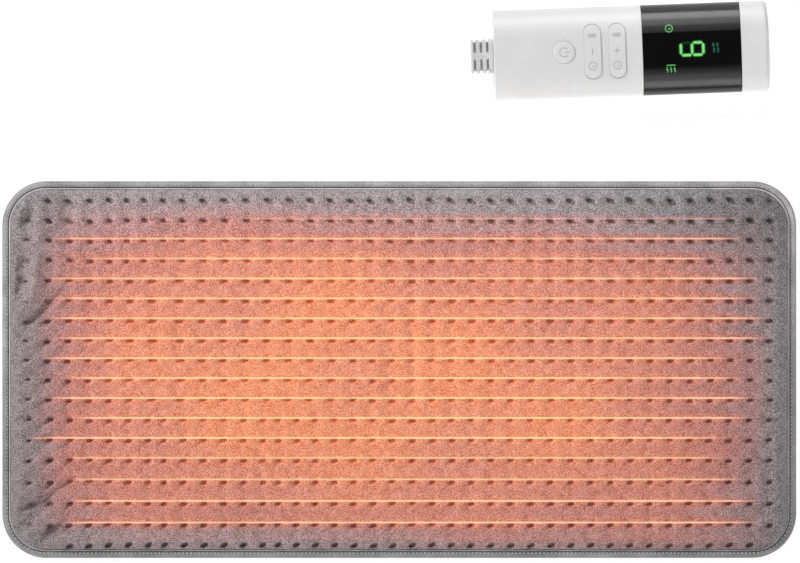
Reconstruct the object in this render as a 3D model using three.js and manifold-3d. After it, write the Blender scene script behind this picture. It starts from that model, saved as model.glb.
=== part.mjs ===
import * as THREE from 'three';
import { mergeVertices } from 'three/addons/utils/BufferGeometryUtils.js';
import Module from 'manifold-3d';

const wasm = await Module();
wasm.setup();

// A heating pad laid flat, with its wired hand controller lying beside it.
// Millimetres, +Z up. The origin is the middle of the pad's underside, +X runs along the pad.

// Clearances
const FIT = 0.3;
const LAYER_GAP = 0.2;
const CUT_OVER = 5;

// Pad outline and edge binding
const PAD_LENGTH = 520;
const PAD_DEPTH = 246.8;
const PAD_CORNER = 29;
const CORNER_STEPS = 5;
const BINDING_WIDTH = 6.5;
const BINDING_WALL = 1.0;
const BINDING_ROUND = 1.3;
const FLANGE_T = 0.9;
const FLANGE_TUCK = 4.6;

// Pad layers, from the back up
const BACK_T = 1.2;
const LOWER_FELT_T = 2.0;
const CARRIER_T = 0.5;
const WIRE_D = 2.2;
const UPPER_FELT_T = 1.3;
const COVER_T = 2.4;
const FELT_INSET = 20;
const BACK_TURN_UP = 5;
const CROWN_RUN = 13.5;

// Embossed dots of the top cover
const DOT_MARGIN_X = 18.2;
const DOT_MARGIN_Y = 13.7;
const DOT_PITCH_X = 14.6;
const DOT_PITCH_Y = 13.7;
const DOT_DEPTH = 1.6;

// Heating wire and what is joined to it
const WIRE_RUNS = 16;
const WIRE_MARGIN = 23.9;
const RUN_INSET_LEFT = 30;
const RUN_INSET_RIGHT = 40;
const RETURN_INSET = 23;
const TURN_STEPS = 6;
const WIRE_SIDES = 8;
const JUNCTION_LENGTH = 16;
const JUNCTION_WIDTH = 8;
const CUTOUT_LENGTH = 15;
const CUTOUT_WIDTH = 6;
const CUTOUT_X = -60;
const SENSOR_LENGTH = 7;
const SENSOR_WIDTH = 3.4;
const SENSOR_X = 60;
const CAPSULE_CORNER = 1.2;
const INLET_LENGTH = 44;
const INLET_WIDTH = 20;
const INLET_CORNER = 4;
const INLET_FROM_END = 70;
const INLET_FROM_SIDE = 41.4;
const CONTACT_COUNT = 3;
const CONTACT_R = 2.4;
const CONTACT_PITCH = 11;
const CONTACT_T = 1.4;

// Controller: where it lies and its body
const CONTROLLER_X = 151.3;
const CONTROLLER_FROM_PAD = 85;
const CONTROLLER_TURN = THREE.MathUtils.degToRad(2.15);
const BODY_LENGTH = 179.6;
const BODY_WIDTH = 59.1;
const LOWER_DEPTH = 12.5;
const UPPER_RISE = 17.5;
const TOP_FLAT = 19;
const BOTTOM_FLAT = 36;
const WALL = 1.8;
const SEAM = 0.3;
const EDGE_ROUND = 1.0;
const EDGE_STEPS = 2;
const ARC_STEPS = 4;
const CORNER_ARC_STEPS = 2;

// Display band and end cap, with what shows in the band placed from its start
const CAP_LENGTH = 18.3;
const BAND_LENGTH = 64.5;
const LENS_WALL = 1.8;
const FRAME_WALL = 1.5;
const TONGUE = 4;
const CAP_ROUND_SIDE = 4.5;
const CAP_ROUND_END = 3.5;
const CAP_ROUND_STEPS = 4;
const CAP_WALL = 4.5;
const MODULE_LENGTH = 39.5;
const MODULE_WIDTH = 31;
const MODULE_CORNER = 1;
const MODULE_ALONG = 32.8;
const MODULE_DROP = 3.9;
const DIGIT_ALONG = 33.2;
const DIGIT_LENGTH = 16.3;
const DIGIT_WIDTH = 9.8;
const SEGMENT_T = 2.0;
const SEGMENT_GAP = 0.5;
const SEGMENT_DEPTH = 0.6;
const LAMP_R = 2.6;
const LAMP_ALONG = 18;
const LAMP_Y = 12;
const UNIT_LAMP_ALONG = 48.1;

// Keys, and the silicone domes that return them
const KEY_PROUD = 0.6;
const KEY_GAP = 0.35;
const KEY_END_GAP = 0.6;
const KEY_SPACE = 11.4;
const BUTTON_R = 7.2;
const BUTTON_PITCH = 18.5;
const BUTTON_LIP = 1.6;
const BUTTON_LIP_T = 1.2;
const BUTTON_EDGE = 0.5;
const STEM_R = 2.4;
const ROCKER_WIDTH = 10.6;
const ROCKER_LENGTH = 35;
const ROCKER_WALL = 1.5;
const ROCKER_FOOT_Y = 12.6;
const ROCKER_SKIRT = 5.4;
const ROCKER_PITCH = 16;
const ROCKER_FROM_BAND = 16.5;
const PIVOT_DROP = 3.8;
const PIVOT_R = 1.3;
const SADDLE_T = 1.6;
const SADDLE_WIDTH = 9;
const DOME_R = 4.2;
const DOME_TOP_R = 2.4;
const DOME_H = 3.6;
const DOME_WALL = 0.8;
const ROUND_STEPS = 12;

// Circuit board and what it carries, placed from the board's end at the cord
const BOARD_T = 1.6;
const BOARD_FROM_CORD = 23.8;
const BOARD_FROM_CAP = 10;
const BOARD_MARGIN = 8.5;
const BOARD_CORNER = 3;
const BOARD_SCREW_EDGE = 5;
const BOARD_SCREW_IN = 6;
const BOARD_SCREW_PAST_BAND = 7;
const TRIAC_ALONG = 72;
const TRIAC_SIZE = [10, 9, 4.5];
const TRIAC_TAB = [6.5, 10, 1.3];
const TRIAC_HOLE_R = 1.6;
const CAPACITOR_ALONG = 38;
const CAPACITOR_SIZE = [18, 9, 9.5];
const FUSE_ALONG = 60;
const FUSE_Y = -11;
const FUSE_R = 2.6;
const FUSE_LENGTH = 20;
const FUSE_CAP = 5;
const FUSE_GLASS_R = 2.2;
const TERMINAL_ALONG = 18;
const TERMINAL_SIZE = [11, 20, 9];
const TERMINAL_WAYS = 4;
const TERMINAL_HOLE_R = 1.5;
const CHIP_ALONG = 100;
const CHIP_SIZE = [12, 12, 1.6];

// Strain relief at the cord end
const BOOT_LENGTH = 14.5;
const BOOT_WIDTH = 22;
const BOOT_HEIGHT = 14;
const BOOT_CORNER = 3.5;
const BOOT_TAPER = 0.06;
const BOOT_SLOTS = 3;
const BOOT_SLOT = 1.9;
const BOOT_SLOT_PITCH = 4.15;
const BOOT_SLOT_START = 3.7;
const BOOT_SPINE = 4.2;
const BOOT_SLEEVE_R = 5.4;
const CORD_BORE_R = 4.0;
const NECK_WIDTH = 15;
const NECK_HEIGHT = 11.5;
const NECK_CORNER = 3;
const NECK_FLANGE = 2;
const NECK_FLANGE_T = 3;

// Screws
const BODY_SCREW_FROM_CORD = 12.8;
const BODY_SCREW_FROM_CAP = 5.5;
const BODY_SCREW_EDGE = 14.5;
const BOSS_R = 4.4;
const SCREW_HEAD_R = 2.7;
const SCREW_HEAD_H = 2;
const SCREW_R = 1.4;
const SCREW_GRIP = 9;
const SCREW_RECESS = 3;
const SCREW_SOCKET = 0.9;
const BOARD_HEAD_R = 2.3;
const BOARD_HEAD_H = 1.5;
const BOARD_SCREW_R = 1.1;
const BOARD_GRIP = 5;
const BOARD_BOSS_R = 2.9;

// Heights and places that follow from the sizes above
const FLANGE_LOW = BINDING_WALL + LAYER_GAP;
const FLANGE_HIGH = FLANGE_LOW + FLANGE_T + LAYER_GAP;
const SEAM_Z = FLANGE_HIGH + FLANGE_T;
const BINDING_H = SEAM_Z + LAYER_GAP + BINDING_WALL;
const CARRIER_Z = BACK_T + LOWER_FELT_T;
const WIRE_FLOOR = CARRIER_Z + CARRIER_T + LAYER_GAP;
const WIRE_Z = WIRE_FLOOR + WIRE_D / 2;
const WIRE_ROOF = WIRE_FLOOR + WIRE_D + LAYER_GAP;
const COVER_UNDER_Z = WIRE_ROOF + UPPER_FELT_T;
const PAD_CROWN = COVER_UNDER_Z + COVER_T;
const WIRE_PITCH = (PAD_DEPTH - 2 * WIRE_MARGIN) / (WIRE_RUNS - 1);
const INLET_X = PAD_LENGTH / 2 - INLET_FROM_END;
const INLET_Y = PAD_DEPTH / 2 - INLET_FROM_SIDE;
const CONTROLLER_Y = PAD_DEPTH / 2 + CONTROLLER_FROM_PAD;
const BODY_HEIGHT = LOWER_DEPTH + UPPER_RISE;
const CORD_END = -BODY_LENGTH / 2;
const CAP_END = BODY_LENGTH / 2;
const BAND_END = CAP_END - CAP_LENGTH;
const BAND_START = BAND_END - BAND_LENGTH;
const MODULE_X = BAND_START + MODULE_ALONG;
const DIGIT_X = BAND_START + DIGIT_ALONG;
const LAMP_X = BAND_START + LAMP_ALONG;
const UNIT_LAMP_X = BAND_START + UNIT_LAMP_ALONG;
const INCREASE_X = BAND_START - ROCKER_FROM_BAND;
const DECREASE_X = INCREASE_X - ROCKER_PITCH;
const BUTTON_X = DECREASE_X - BUTTON_PITCH;
const BOARD_START = CORD_END + BOARD_FROM_CORD;
const BOARD_END = BAND_END - BOARD_FROM_CAP;
const BOARD_SCREW_X = [BOARD_START + BOARD_SCREW_IN, BAND_START + BOARD_SCREW_PAST_BAND];
const BODY_SCREW_X = [CORD_END + BODY_SCREW_FROM_CORD, BAND_END - BODY_SCREW_FROM_CAP];
const TERMINAL_X = BOARD_START + TERMINAL_ALONG;
const CAPACITOR_X = BOARD_START + CAPACITOR_ALONG;
const FUSE_X = BOARD_START + FUSE_ALONG;
const TRIAC_X = BOARD_START + TRIAC_ALONG;
const CHIP_X = BOARD_START + CHIP_ALONG;
const ROOF = BODY_HEIGHT - WALL;
const FRAME_INSET = Math.max(WALL, LENS_WALL) + FIT;
const BOARD_TOP = ROOF - KEY_SPACE;
const BOARD_BOTTOM = BOARD_TOP - BOARD_T;
const BOARD_WIDTH = BODY_WIDTH - 2 * BOARD_MARGIN;
const BOARD_SCREW_Y = BOARD_WIDTH / 2 - BOARD_SCREW_EDGE;
const BODY_SCREW_Y = BODY_WIDTH / 2 - BODY_SCREW_EDGE;
const FOOT_Z = BOARD_TOP + DOME_H + FIT;
const PIVOT_Z = ROOF - PIVOT_DROP;

const finish = (color, roughness, metalness = 0) =>
  new THREE.MeshStandardMaterial({ color, roughness, metalness });
const FINISH = {
  plush: finish(0x8f8c8d, 0.95),
  binding: finish(0xa2a0a1, 0.9),
  felt: finish(0xd9d6cf, 0.95),
  wire: finish(0xf0a050, 0.6),
  white: finish(0xe4e4e4, 0.4),
  lens: finish(0x060606, 0.08),
  black: finish(0x1b1b1c, 0.5),
  rubber: finish(0xc8c8c8, 0.7),
  board: finish(0x1f5a35, 0.5),
  steel: finish(0xb9bcbf, 0.35, 1),
  brass: finish(0xc9a45a, 0.35, 1),
  part: finish(0x33343a, 0.5),
  blue: finish(0x2f5f9d, 0.5),
};

const product = new THREE.Group();
const pad = new THREE.Group();
const controller = new THREE.Group();
product.add(pad, controller);
controller.position.set(CONTROLLER_X, CONTROLLER_Y, 0);
controller.rotation.z = CONTROLLER_TURN;

// Adds one named piece to a group, from a geometry or a cut solid.
function piece(group, name, shape, material) {
  const geometry = shape.isBufferGeometry ? shape : toGeometry(shape);
  const mesh = new THREE.Mesh(geometry, material);
  mesh.name = name;
  group.add(mesh);
}

function toSolid(geometry) {
  const bare = geometry.clone();
  bare.deleteAttribute('normal');
  bare.deleteAttribute('uv');
  const joined = mergeVertices(bare);
  return new wasm.Manifold(new wasm.Mesh({
    numProp: 3,
    vertProperties: new Float32Array(joined.attributes.position.array),
    triVerts: new Uint32Array(joined.index.array),
  }));
}

function toGeometry(solid) {
  const mesh = solid.getMesh();
  const geometry = new THREE.BufferGeometry();
  geometry.setAttribute('position', new THREE.BufferAttribute(mesh.vertProperties, 3));
  geometry.setIndex(new THREE.BufferAttribute(mesh.triVerts, 1));
  return geometry;
}

const join = (solids) => solids.reduce((whole, next) => whole.add(next));

// A flat shape raised from one height to another.
function prism(shape, low, high, curveSegments = CORNER_ARC_STEPS) {
  const options = { depth: high - low, bevelEnabled: false, curveSegments };
  return toSolid(new THREE.ExtrudeGeometry(shape, options).translate(0, 0, low));
}

// A cross-section, drawn as width and height, run along X from a start.
function barGeometry(section, start, options) {
  const geometry = new THREE.ExtrudeGeometry(section, options).translate(0, 0, start);
  const alongX = new THREE.Matrix4().makeBasis(
    new THREE.Vector3(0, 1, 0), new THREE.Vector3(0, 0, 1), new THREE.Vector3(1, 0, 0));
  return geometry.applyMatrix4(alongX);
}

function bar(section, start, end, curveSegments = ARC_STEPS) {
  const options = { depth: end - start, bevelEnabled: false, curveSegments };
  return toSolid(barGeometry(section, start, options));
}

// The same with rounded ends: side is how far the rounding draws in, tip how far along it starts.
function roundedBar(section, start, end, side, tip, bevelSegments) {
  return toSolid(barGeometry(section, start + tip, {
    depth: end - start - 2 * tip,
    curveSegments: ARC_STEPS,
    bevelSize: side,
    bevelOffset: -side,
    bevelThickness: tip,
    bevelSegments,
  }));
}

function box(low, high) {
  const [x, y, z] = high.map((value, axis) => value - low[axis]);
  return toSolid(new THREE.BoxGeometry(x, y, z)
    .translate(low[0] + x / 2, low[1] + y / 2, low[2] + z / 2));
}

// A round post or hole along Z.
function post(radius, x, y, low, high) {
  return toSolid(new THREE.CylinderGeometry(radius, radius, high - low, ROUND_STEPS)
    .rotateX(Math.PI / 2).translate(x, y, (low + high) / 2));
}

// A round pin or hole along X.
function pin(radius, start, end, y, z) {
  return toSolid(new THREE.CylinderGeometry(radius, radius, end - start, ROUND_STEPS)
    .rotateZ(Math.PI / 2).translate((start + end) / 2, y, z));
}

// A turned piece on an upright axis, from [radius, height] pairs that begin and end on the axis.
function turned(profile, x, y) {
  const points = profile.map(([radius, height]) => new THREE.Vector2(radius, height));
  return toSolid(new THREE.LatheGeometry(points, ROUND_STEPS).rotateX(Math.PI / 2).translate(x, y, 0));
}

function roundedRectangle(width, height, radius, x = 0, y = 0) {
  const halfWidth = width / 2 - radius;
  const halfHeight = height / 2 - radius;
  const shape = new THREE.Shape();
  shape.absarc(x + halfWidth, y + halfHeight, radius, 0, Math.PI / 2);
  shape.absarc(x - halfWidth, y + halfHeight, radius, Math.PI / 2, Math.PI);
  shape.absarc(x - halfWidth, y - halfHeight, radius, Math.PI, 1.5 * Math.PI);
  shape.absarc(x + halfWidth, y - halfHeight, radius, 1.5 * Math.PI, 2 * Math.PI);
  return shape;
}

// The key's outline: straight sides and half-round ends, longer across the controller.
function pill(width, length, x) {
  const reach = (length - width) / 2;
  const shape = new THREE.Shape();
  shape.absarc(x, reach, width / 2, 0, Math.PI);
  shape.absarc(x, -reach, width / 2, Math.PI, 2 * Math.PI);
  return shape;
}

// One point list per level of the pad's rounded outline, drawn in by inset.
function padRing(inset, z) {
  const radius = PAD_CORNER - inset;
  const ring = [];
  for (let corner = 0; corner < 4; corner += 1) {
    const sideX = corner === 0 || corner === 3 ? 1 : -1;
    const sideY = corner < 2 ? 1 : -1;
    for (let step = 0; step <= CORNER_STEPS; step += 1) {
      const angle = (corner + step / CORNER_STEPS) * Math.PI / 2;
      ring.push(new THREE.Vector3(
        sideX * (PAD_LENGTH / 2 - PAD_CORNER) + radius * Math.cos(angle),
        sideY * (PAD_DEPTH / 2 - PAD_CORNER) + radius * Math.sin(angle), z));
    }
  }
  return ring;
}

function bands(rings, closed) {
  const faces = [];
  const count = closed ? rings.length : rings.length - 1;
  for (let level = 0; level < count; level += 1) {
    const low = rings[level];
    const high = rings[(level + 1) % rings.length];
    low.forEach((point, index) => {
      const next = (index + 1) % low.length;
      faces.push([point, low[next], high[next]], [point, high[next], high[index]]);
    });
  }
  return faces;
}

function cap(ring, facingUp) {
  const faces = THREE.ShapeUtils.triangulateShape(ring, []);
  return faces.map(([a, b, c]) => (facingUp ? [ring[a], ring[b], ring[c]] : [ring[c], ring[b], ring[a]]));
}

// The strip between two rings that run the same way round, joined along their shortest links.
function strip(outer, inner) {
  const start = outer.reduce((best, point, index) =>
    (point.distanceTo(inner[0]) < outer[best].distanceTo(inner[0]) ? index : best), 0);
  const faces = [];
  let outerStep = 0;
  let innerStep = 0;
  while (outerStep < outer.length || innerStep < inner.length) {
    const outside = outer[(start + outerStep) % outer.length];
    const outsideNext = outer[(start + outerStep + 1) % outer.length];
    const inside = inner[innerStep % inner.length];
    const insideNext = inner[(innerStep + 1) % inner.length];
    const goOutside = innerStep === inner.length || (outerStep < outer.length
      && outsideNext.distanceTo(inside) < outside.distanceTo(insideNext));
    faces.push([outside, goOutside ? outsideNext : insideNext, inside]);
    outerStep += goOutside ? 1 : 0;
    innerStep += goOutside ? 0 : 1;
  }
  return faces;
}

function fromFaces(faces) {
  return mergeVertices(new THREE.BufferGeometry().setFromPoints(faces.flat()));
}

// A sheet whose [inset, height] levels run from the middle of its underside round to its top.
function sheet(levels) {
  const rings = levels.map(([inset, z]) => padRing(inset, z));
  return fromFaces([...cap(rings[0], false), ...bands(rings, false), ...cap(rings.at(-1), true)]);
}

const slab = (inset, low, high) => sheet([[inset, low], [inset, high]]);

// How far a point lies inside the pad's outline.
function insetAt(x, y) {
  const acrossX = Math.abs(x) - PAD_LENGTH / 2 + PAD_CORNER;
  const acrossY = Math.abs(y) - PAD_DEPTH / 2 + PAD_CORNER;
  const corner = Math.hypot(Math.max(acrossX, 0), Math.max(acrossY, 0));
  return PAD_CORNER - corner - Math.min(Math.max(acrossX, acrossY), 0);
}

function crownAt(x, y) {
  const share = THREE.MathUtils.clamp((insetAt(x, y) - BINDING_WIDTH) / CROWN_RUN, 0, 1);
  return SEAM_Z + (PAD_CROWN - SEAM_Z) * Math.sin(share * Math.PI / 2);
}

// Top cover: a crowned plush face with a grid of embossed dots, each dot pressed in between four swells.
function topCover() {
  const spanX = PAD_LENGTH - 2 * DOT_MARGIN_X;
  const spanY = PAD_DEPTH - 2 * DOT_MARGIN_Y;
  const columns = Math.round(spanX / DOT_PITCH_X);
  const rows = Math.round(spanY / DOT_PITCH_Y);
  const at = (column, row, press) => {
    const x = (column / columns - 0.5) * spanX;
    const y = (row / rows - 0.5) * spanY;
    return new THREE.Vector3(x, y, crownAt(x, y) - press);
  };
  const dot = (column, row) => at(column, row, DOT_DEPTH);
  const faces = [];
  for (let column = 0; column < columns; column += 1) {
    for (let row = 0; row < rows; row += 1) {
      const swell = at(column + 0.5, row + 0.5, 0);
      const corners = [
        dot(column, row), dot(column + 1, row), dot(column + 1, row + 1), dot(column, row + 1)];
      corners.forEach((corner, index) => faces.push([corner, corners[(index + 1) % 4], swell]));
    }
  }
  const edge = [];
  for (let row = 0; row < rows; row += 1) {
    edge.push(dot(columns, row));
  }
  for (let column = columns; column > 0; column -= 1) {
    edge.push(dot(column, rows));
  }
  for (let row = rows; row > 0; row -= 1) {
    edge.push(dot(0, row));
  }
  for (let column = 0; column < columns; column += 1) {
    edge.push(dot(column, 0));
  }
  const tuck = BINDING_WIDTH - FLANGE_TUCK;
  const rings = [
    padRing(FELT_INSET - LAYER_GAP, COVER_UNDER_Z),
    padRing(BINDING_WIDTH + LAYER_GAP, FLANGE_HIGH),
    padRing(tuck, FLANGE_HIGH),
    padRing(tuck, SEAM_Z),
    padRing(BINDING_WIDTH, SEAM_Z),
  ];
  const shoulder = strip(rings.at(-1), edge);
  return fromFaces([...cap(rings[0], false), ...bands(rings, false), ...shoulder, ...faces]);
}

// Back cover: a flat sheet whose edge turns up into the binding, with a window for the inlet.
function backCover() {
  const tuck = BINDING_WIDTH - FLANGE_TUCK;
  const turn = BINDING_WIDTH + LAYER_GAP;
  const outer = toSolid(sheet([
    [turn + BACK_TURN_UP, 0], [turn, FLANGE_LOW], [tuck, FLANGE_LOW],
    [tuck, FLANGE_LOW + FLANGE_T], [turn + BACK_TURN_UP / 2, FLANGE_LOW + FLANGE_T],
    [turn + 2 * BACK_TURN_UP, BACK_T]]));
  return outer.subtract(inletBlock(FIT, -CUT_OVER, BACK_T + CUT_OVER));
}

// Binding: a folded tape round the edge of both covers, open on its inner side.
function edgeBinding() {
  const inner = BINDING_WIDTH;
  const levels = [
    [inner, 0], [BINDING_ROUND, 0], [0, BINDING_ROUND], [0, BINDING_H - BINDING_ROUND],
    [BINDING_ROUND, BINDING_H], [inner, BINDING_H], [inner, BINDING_H - BINDING_WALL],
    [BINDING_WALL, BINDING_H - BINDING_WALL], [BINDING_WALL, BINDING_WALL], [inner, BINDING_WALL]];
  return fromFaces(bands(levels.map(([inset, z]) => padRing(inset, z)), true));
}

function inletBlock(grow, low, high) {
  const shape = roundedRectangle(
    INLET_LENGTH + 2 * grow, INLET_WIDTH + 2 * grow, INLET_CORNER + grow, INLET_X, INLET_Y);
  return prism(shape, low, high);
}

// A route through hand-set points, one section at each point.
class Route extends THREE.Curve {
  constructor(points) {
    super();
    this.points = points;
  }

  getUtoTmapping(share) {
    return share;
  }

  getPoint(share, target = new THREE.Vector3()) {
    const place = share * (this.points.length - 1);
    const index = THREE.MathUtils.clamp(Math.floor(place), 0, this.points.length - 2);
    return target.lerpVectors(this.points[index], this.points[index + 1], place - index);
  }
}

const runEnd = PAD_LENGTH / 2 - RUN_INSET_RIGHT;
const runY = (run) => ((WIRE_RUNS - 1) / 2 - run) * WIRE_PITCH;

// Heating wire: one length laid to and fro across the pad, with its end brought back up the right side.
function heatingWire() {
  const left = RUN_INSET_LEFT - PAD_LENGTH / 2;
  const returnX = PAD_LENGTH / 2 - RETURN_INSET;
  const radius = WIRE_PITCH / 2;
  const points = [];
  const arc = (x, y, from, sweep) => {
    const steps = Math.round(TURN_STEPS * Math.abs(sweep) / Math.PI);
    for (let step = 0; step <= steps; step += 1) {
      const angle = from + sweep * step / steps;
      points.push(new THREE.Vector3(x + radius * Math.cos(angle), y + radius * Math.sin(angle), WIRE_Z));
    }
  };
  points.push(new THREE.Vector3(runEnd - JUNCTION_LENGTH - FIT, runY(0), WIRE_Z));
  for (let run = 0; run < WIRE_RUNS - 1; run += 1) {
    const middle = (runY(run) + runY(run + 1)) / 2;
    const turnsLeft = run % 2 === 0;
    arc(turnsLeft ? left : runEnd, middle, Math.PI / 2, turnsLeft ? Math.PI : -Math.PI);
  }
  arc(returnX - radius, runY(WIRE_RUNS - 1) + radius, -Math.PI / 2, Math.PI / 2);
  arc(returnX - radius, runY(0) - radius, 0, Math.PI / 2);
  points.push(new THREE.Vector3(runEnd + FIT, runY(0), WIRE_Z));
  const section = new THREE.Shape().absarc(0, 0, WIRE_D / 2, 0, 2 * Math.PI);
  return new THREE.ExtrudeGeometry(section, {
    steps: points.length - 1, extrudePath: new Route(points), curveSegments: WIRE_SIDES / 2 });
}

// A flat moulded capsule in the wire layer.
function capsule(length, width, x, y) {
  return prism(roundedRectangle(length, width, CAPSULE_CORNER, x, y), WIRE_FLOOR, WIRE_FLOOR + WIRE_D);
}

function buildPad() {
  piece(pad, 'top_cover', topCover(), FINISH.plush);
  piece(pad, 'edge_binding', edgeBinding(), FINISH.binding);
  piece(pad, 'bottom_cover', backCover(), FINISH.plush);
  const lowerFelt = toSolid(slab(FELT_INSET, BACK_T, CARRIER_Z));
  piece(pad, 'lower_batting', lowerFelt.subtract(inletBlock(FIT, 0, CARRIER_Z + CUT_OVER)), FINISH.felt);
  piece(pad, 'wire_carrier', slab(FELT_INSET, CARRIER_Z, CARRIER_Z + CARRIER_T), FINISH.felt);
  piece(pad, 'upper_batting', slab(FELT_INSET, WIRE_ROOF, COVER_UNDER_Z), FINISH.felt);
  piece(pad, 'heating_wire', heatingWire(), FINISH.wire);
  piece(pad, 'lead_junction',
    capsule(JUNCTION_LENGTH, JUNCTION_WIDTH, runEnd - JUNCTION_LENGTH / 2, runY(0)), FINISH.part);
  piece(pad, 'thermal_cutout', capsule(CUTOUT_LENGTH, CUTOUT_WIDTH, CUTOUT_X, 0), FINISH.black);
  piece(pad, 'temperature_sensor', capsule(SENSOR_LENGTH, SENSOR_WIDTH, SENSOR_X, 0), FINISH.part);
  let inlet = inletBlock(0, 0, CARRIER_Z);
  for (let index = 0; index < CONTACT_COUNT; index += 1) {
    const x = INLET_X + (index - (CONTACT_COUNT - 1) / 2) * CONTACT_PITCH;
    inlet = inlet.subtract(post(CONTACT_R + FIT, x, INLET_Y, -CUT_OVER, CONTACT_T + FIT));
    piece(pad, `inlet_contact_${index + 1}`, post(CONTACT_R, x, INLET_Y, 0, CONTACT_T), FINISH.brass);
  }
  piece(pad, 'inlet_plate', inlet, FINISH.black);
}

// Controller cross-section: flat top and bottom, with elliptic flanks that meet at the parting line.
function section(inset) {
  const half = BODY_WIDTH / 2 - inset;
  const rise = UPPER_RISE - inset;
  const fall = LOWER_DEPTH - inset;
  const top = TOP_FLAT / 2;
  const bottom = BOTTOM_FLAT / 2;
  const shape = new THREE.Shape();
  shape.absellipse(top, LOWER_DEPTH, half - top, rise, 0, Math.PI / 2);
  shape.absellipse(-top, LOWER_DEPTH, half - top, rise, Math.PI / 2, Math.PI);
  shape.absellipse(-bottom, LOWER_DEPTH, half - bottom, fall, Math.PI, 1.5 * Math.PI);
  shape.absellipse(bottom, LOWER_DEPTH, half - bottom, fall, 1.5 * Math.PI, 2 * Math.PI);
  return shape;
}

const tube = (outerInset, wall, start, end) =>
  bar(section(outerInset), start, end)
    .subtract(bar(section(outerInset + wall), start - CUT_OVER, end + CUT_OVER));

function block(low, high) {
  const reach = BODY_LENGTH;
  return box([-reach, -reach, low], [reach, reach, high]);
}

const upperPart = (solid) => solid.intersect(block(LOWER_DEPTH + SEAM / 2, 2 * BODY_HEIGHT));
const lowerPart = (solid) => solid.intersect(block(-BODY_HEIGHT, LOWER_DEPTH - SEAM / 2));
const bothSides = (make) => join([make(1), make(-1)]);

// A pair of hollow posts that hang from a roof, for screws driven from below.
function hangingBosses(x, y, radius, hole, grip, low, roofInset) {
  const posts = bothSides((side) => post(radius, x, side * y, low, BODY_HEIGHT));
  const held = posts.intersect(bar(section(roofInset), CORD_END, CAP_END));
  return held.subtract(bothSides((side) => post(hole, x, side * y, low - CUT_OVER, low + grip + FIT)));
}

const neckHole = () =>
  bar(roundedRectangle(NECK_WIDTH + 2 * FIT, NECK_HEIGHT + 2 * FIT, NECK_CORNER + FIT, 0, LOWER_DEPTH),
    CORD_END - CUT_OVER, CORD_END + WALL + CUT_OVER, CORNER_ARC_STEPS);

// Two saddles that hang from the roof and hold a rocker key's pivot pins from above.
function saddles(keyX) {
  const start = ROCKER_WIDTH / 2 + KEY_GAP + FIT;
  const low = PIVOT_Z - 2 * PIVOT_R;
  return bothSides((side) => {
    const near = keyX + side * start;
    const far = near + side * SADDLE_T;
    const ends = [Math.min(near, far), Math.max(near, far)];
    const plate = box([ends[0], -SADDLE_WIDTH / 2, low], [ends[1], SADDLE_WIDTH / 2, ROOF + WALL / 2]);
    const slot = PIVOT_R + FIT;
    const mouth = box([ends[0] - FIT, -slot, low - CUT_OVER], [ends[1] + FIT, slot, PIVOT_Z]);
    return plate.subtract(mouth).subtract(pin(slot, ends[0] - FIT, ends[1] + FIT, 0, PIVOT_Z));
  });
}

function upperHousing() {
  const blank = roundedBar(section(0), CORD_END, BAND_START, EDGE_ROUND, EDGE_ROUND, EDGE_STEPS);
  const cavity = bar(section(WALL), CORD_END + WALL, BAND_START + CUT_OVER);
  const low = LOWER_DEPTH + SEAM / 2;
  const above = BODY_HEIGHT + CUT_OVER;
  let shell = upperPart(blank.subtract(cavity)).subtract(neckHole());
  const width = ROCKER_WIDTH + 2 * KEY_GAP;
  const length = ROCKER_LENGTH + 2 * KEY_END_GAP;
  for (const keyX of [DECREASE_X, INCREASE_X]) {
    const opening = prism(pill(width, length, keyX), LOWER_DEPTH + WALL, above, ARC_STEPS);
    shell = shell.subtract(opening).add(saddles(keyX));
  }
  shell = shell.subtract(post(BUTTON_R + KEY_GAP, BUTTON_X, 0, LOWER_DEPTH + WALL, above));
  return join([
    shell,
    hangingBosses(BODY_SCREW_X[0], BODY_SCREW_Y, BOSS_R, SCREW_R + FIT, SCREW_GRIP, low, WALL / 2),
    hangingBosses(BOARD_SCREW_X[0], BOARD_SCREW_Y, BOARD_BOSS_R, BOARD_SCREW_R + FIT, BOARD_GRIP,
      BOARD_TOP, WALL / 2),
  ]);
}

// Lower housing: the full-length tray, with screw bosses and a spigot that the end cap slides over.
function lowerHousing() {
  const blank = roundedBar(section(0), CORD_END, BAND_END, EDGE_ROUND, EDGE_ROUND, EDGE_STEPS);
  const cavity = bar(section(WALL), CORD_END + WALL, BAND_END + CUT_OVER);
  const tray = lowerPart(blank.subtract(cavity)).subtract(neckHole());
  const spigot = lowerPart(tube(FRAME_INSET, FRAME_WALL, BAND_END - TONGUE, BAND_END + TONGUE));
  const root = lowerPart(tube(WALL / 2, FRAME_INSET + FRAME_WALL - WALL / 2,
    BAND_END - TONGUE, BAND_END - EDGE_ROUND));
  const top = LOWER_DEPTH - SEAM / 2;
  const posts = [];
  const holes = [];
  for (const x of BODY_SCREW_X) {
    posts.push(bothSides((side) => post(BOSS_R, x, side * BODY_SCREW_Y, WALL / 2, top)));
    holes.push(bothSides((side) => join([
      post(SCREW_HEAD_R + FIT, x, side * BODY_SCREW_Y, -CUT_OVER, SCREW_RECESS + SCREW_HEAD_H),
      post(SCREW_R + FIT, x, side * BODY_SCREW_Y, -CUT_OVER, top + CUT_OVER)])));
  }
  return join([tray, spigot, root, ...posts]).subtract(join(holes));
}

// End cap: the closed white end, rounded off at its tip.
function endCap() {
  const start = BAND_END + FIT;
  const blank = roundedBar(
    section(0), BAND_START, CAP_END, CAP_ROUND_SIDE, CAP_ROUND_END, CAP_ROUND_STEPS);
  const cavity = bar(section(WALL), BAND_START - CUT_OVER, CAP_END - CAP_WALL);
  const reach = BODY_LENGTH;
  return blank.subtract(cavity).intersect(box([start, -reach, -reach], [reach, reach, reach]));
}

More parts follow.
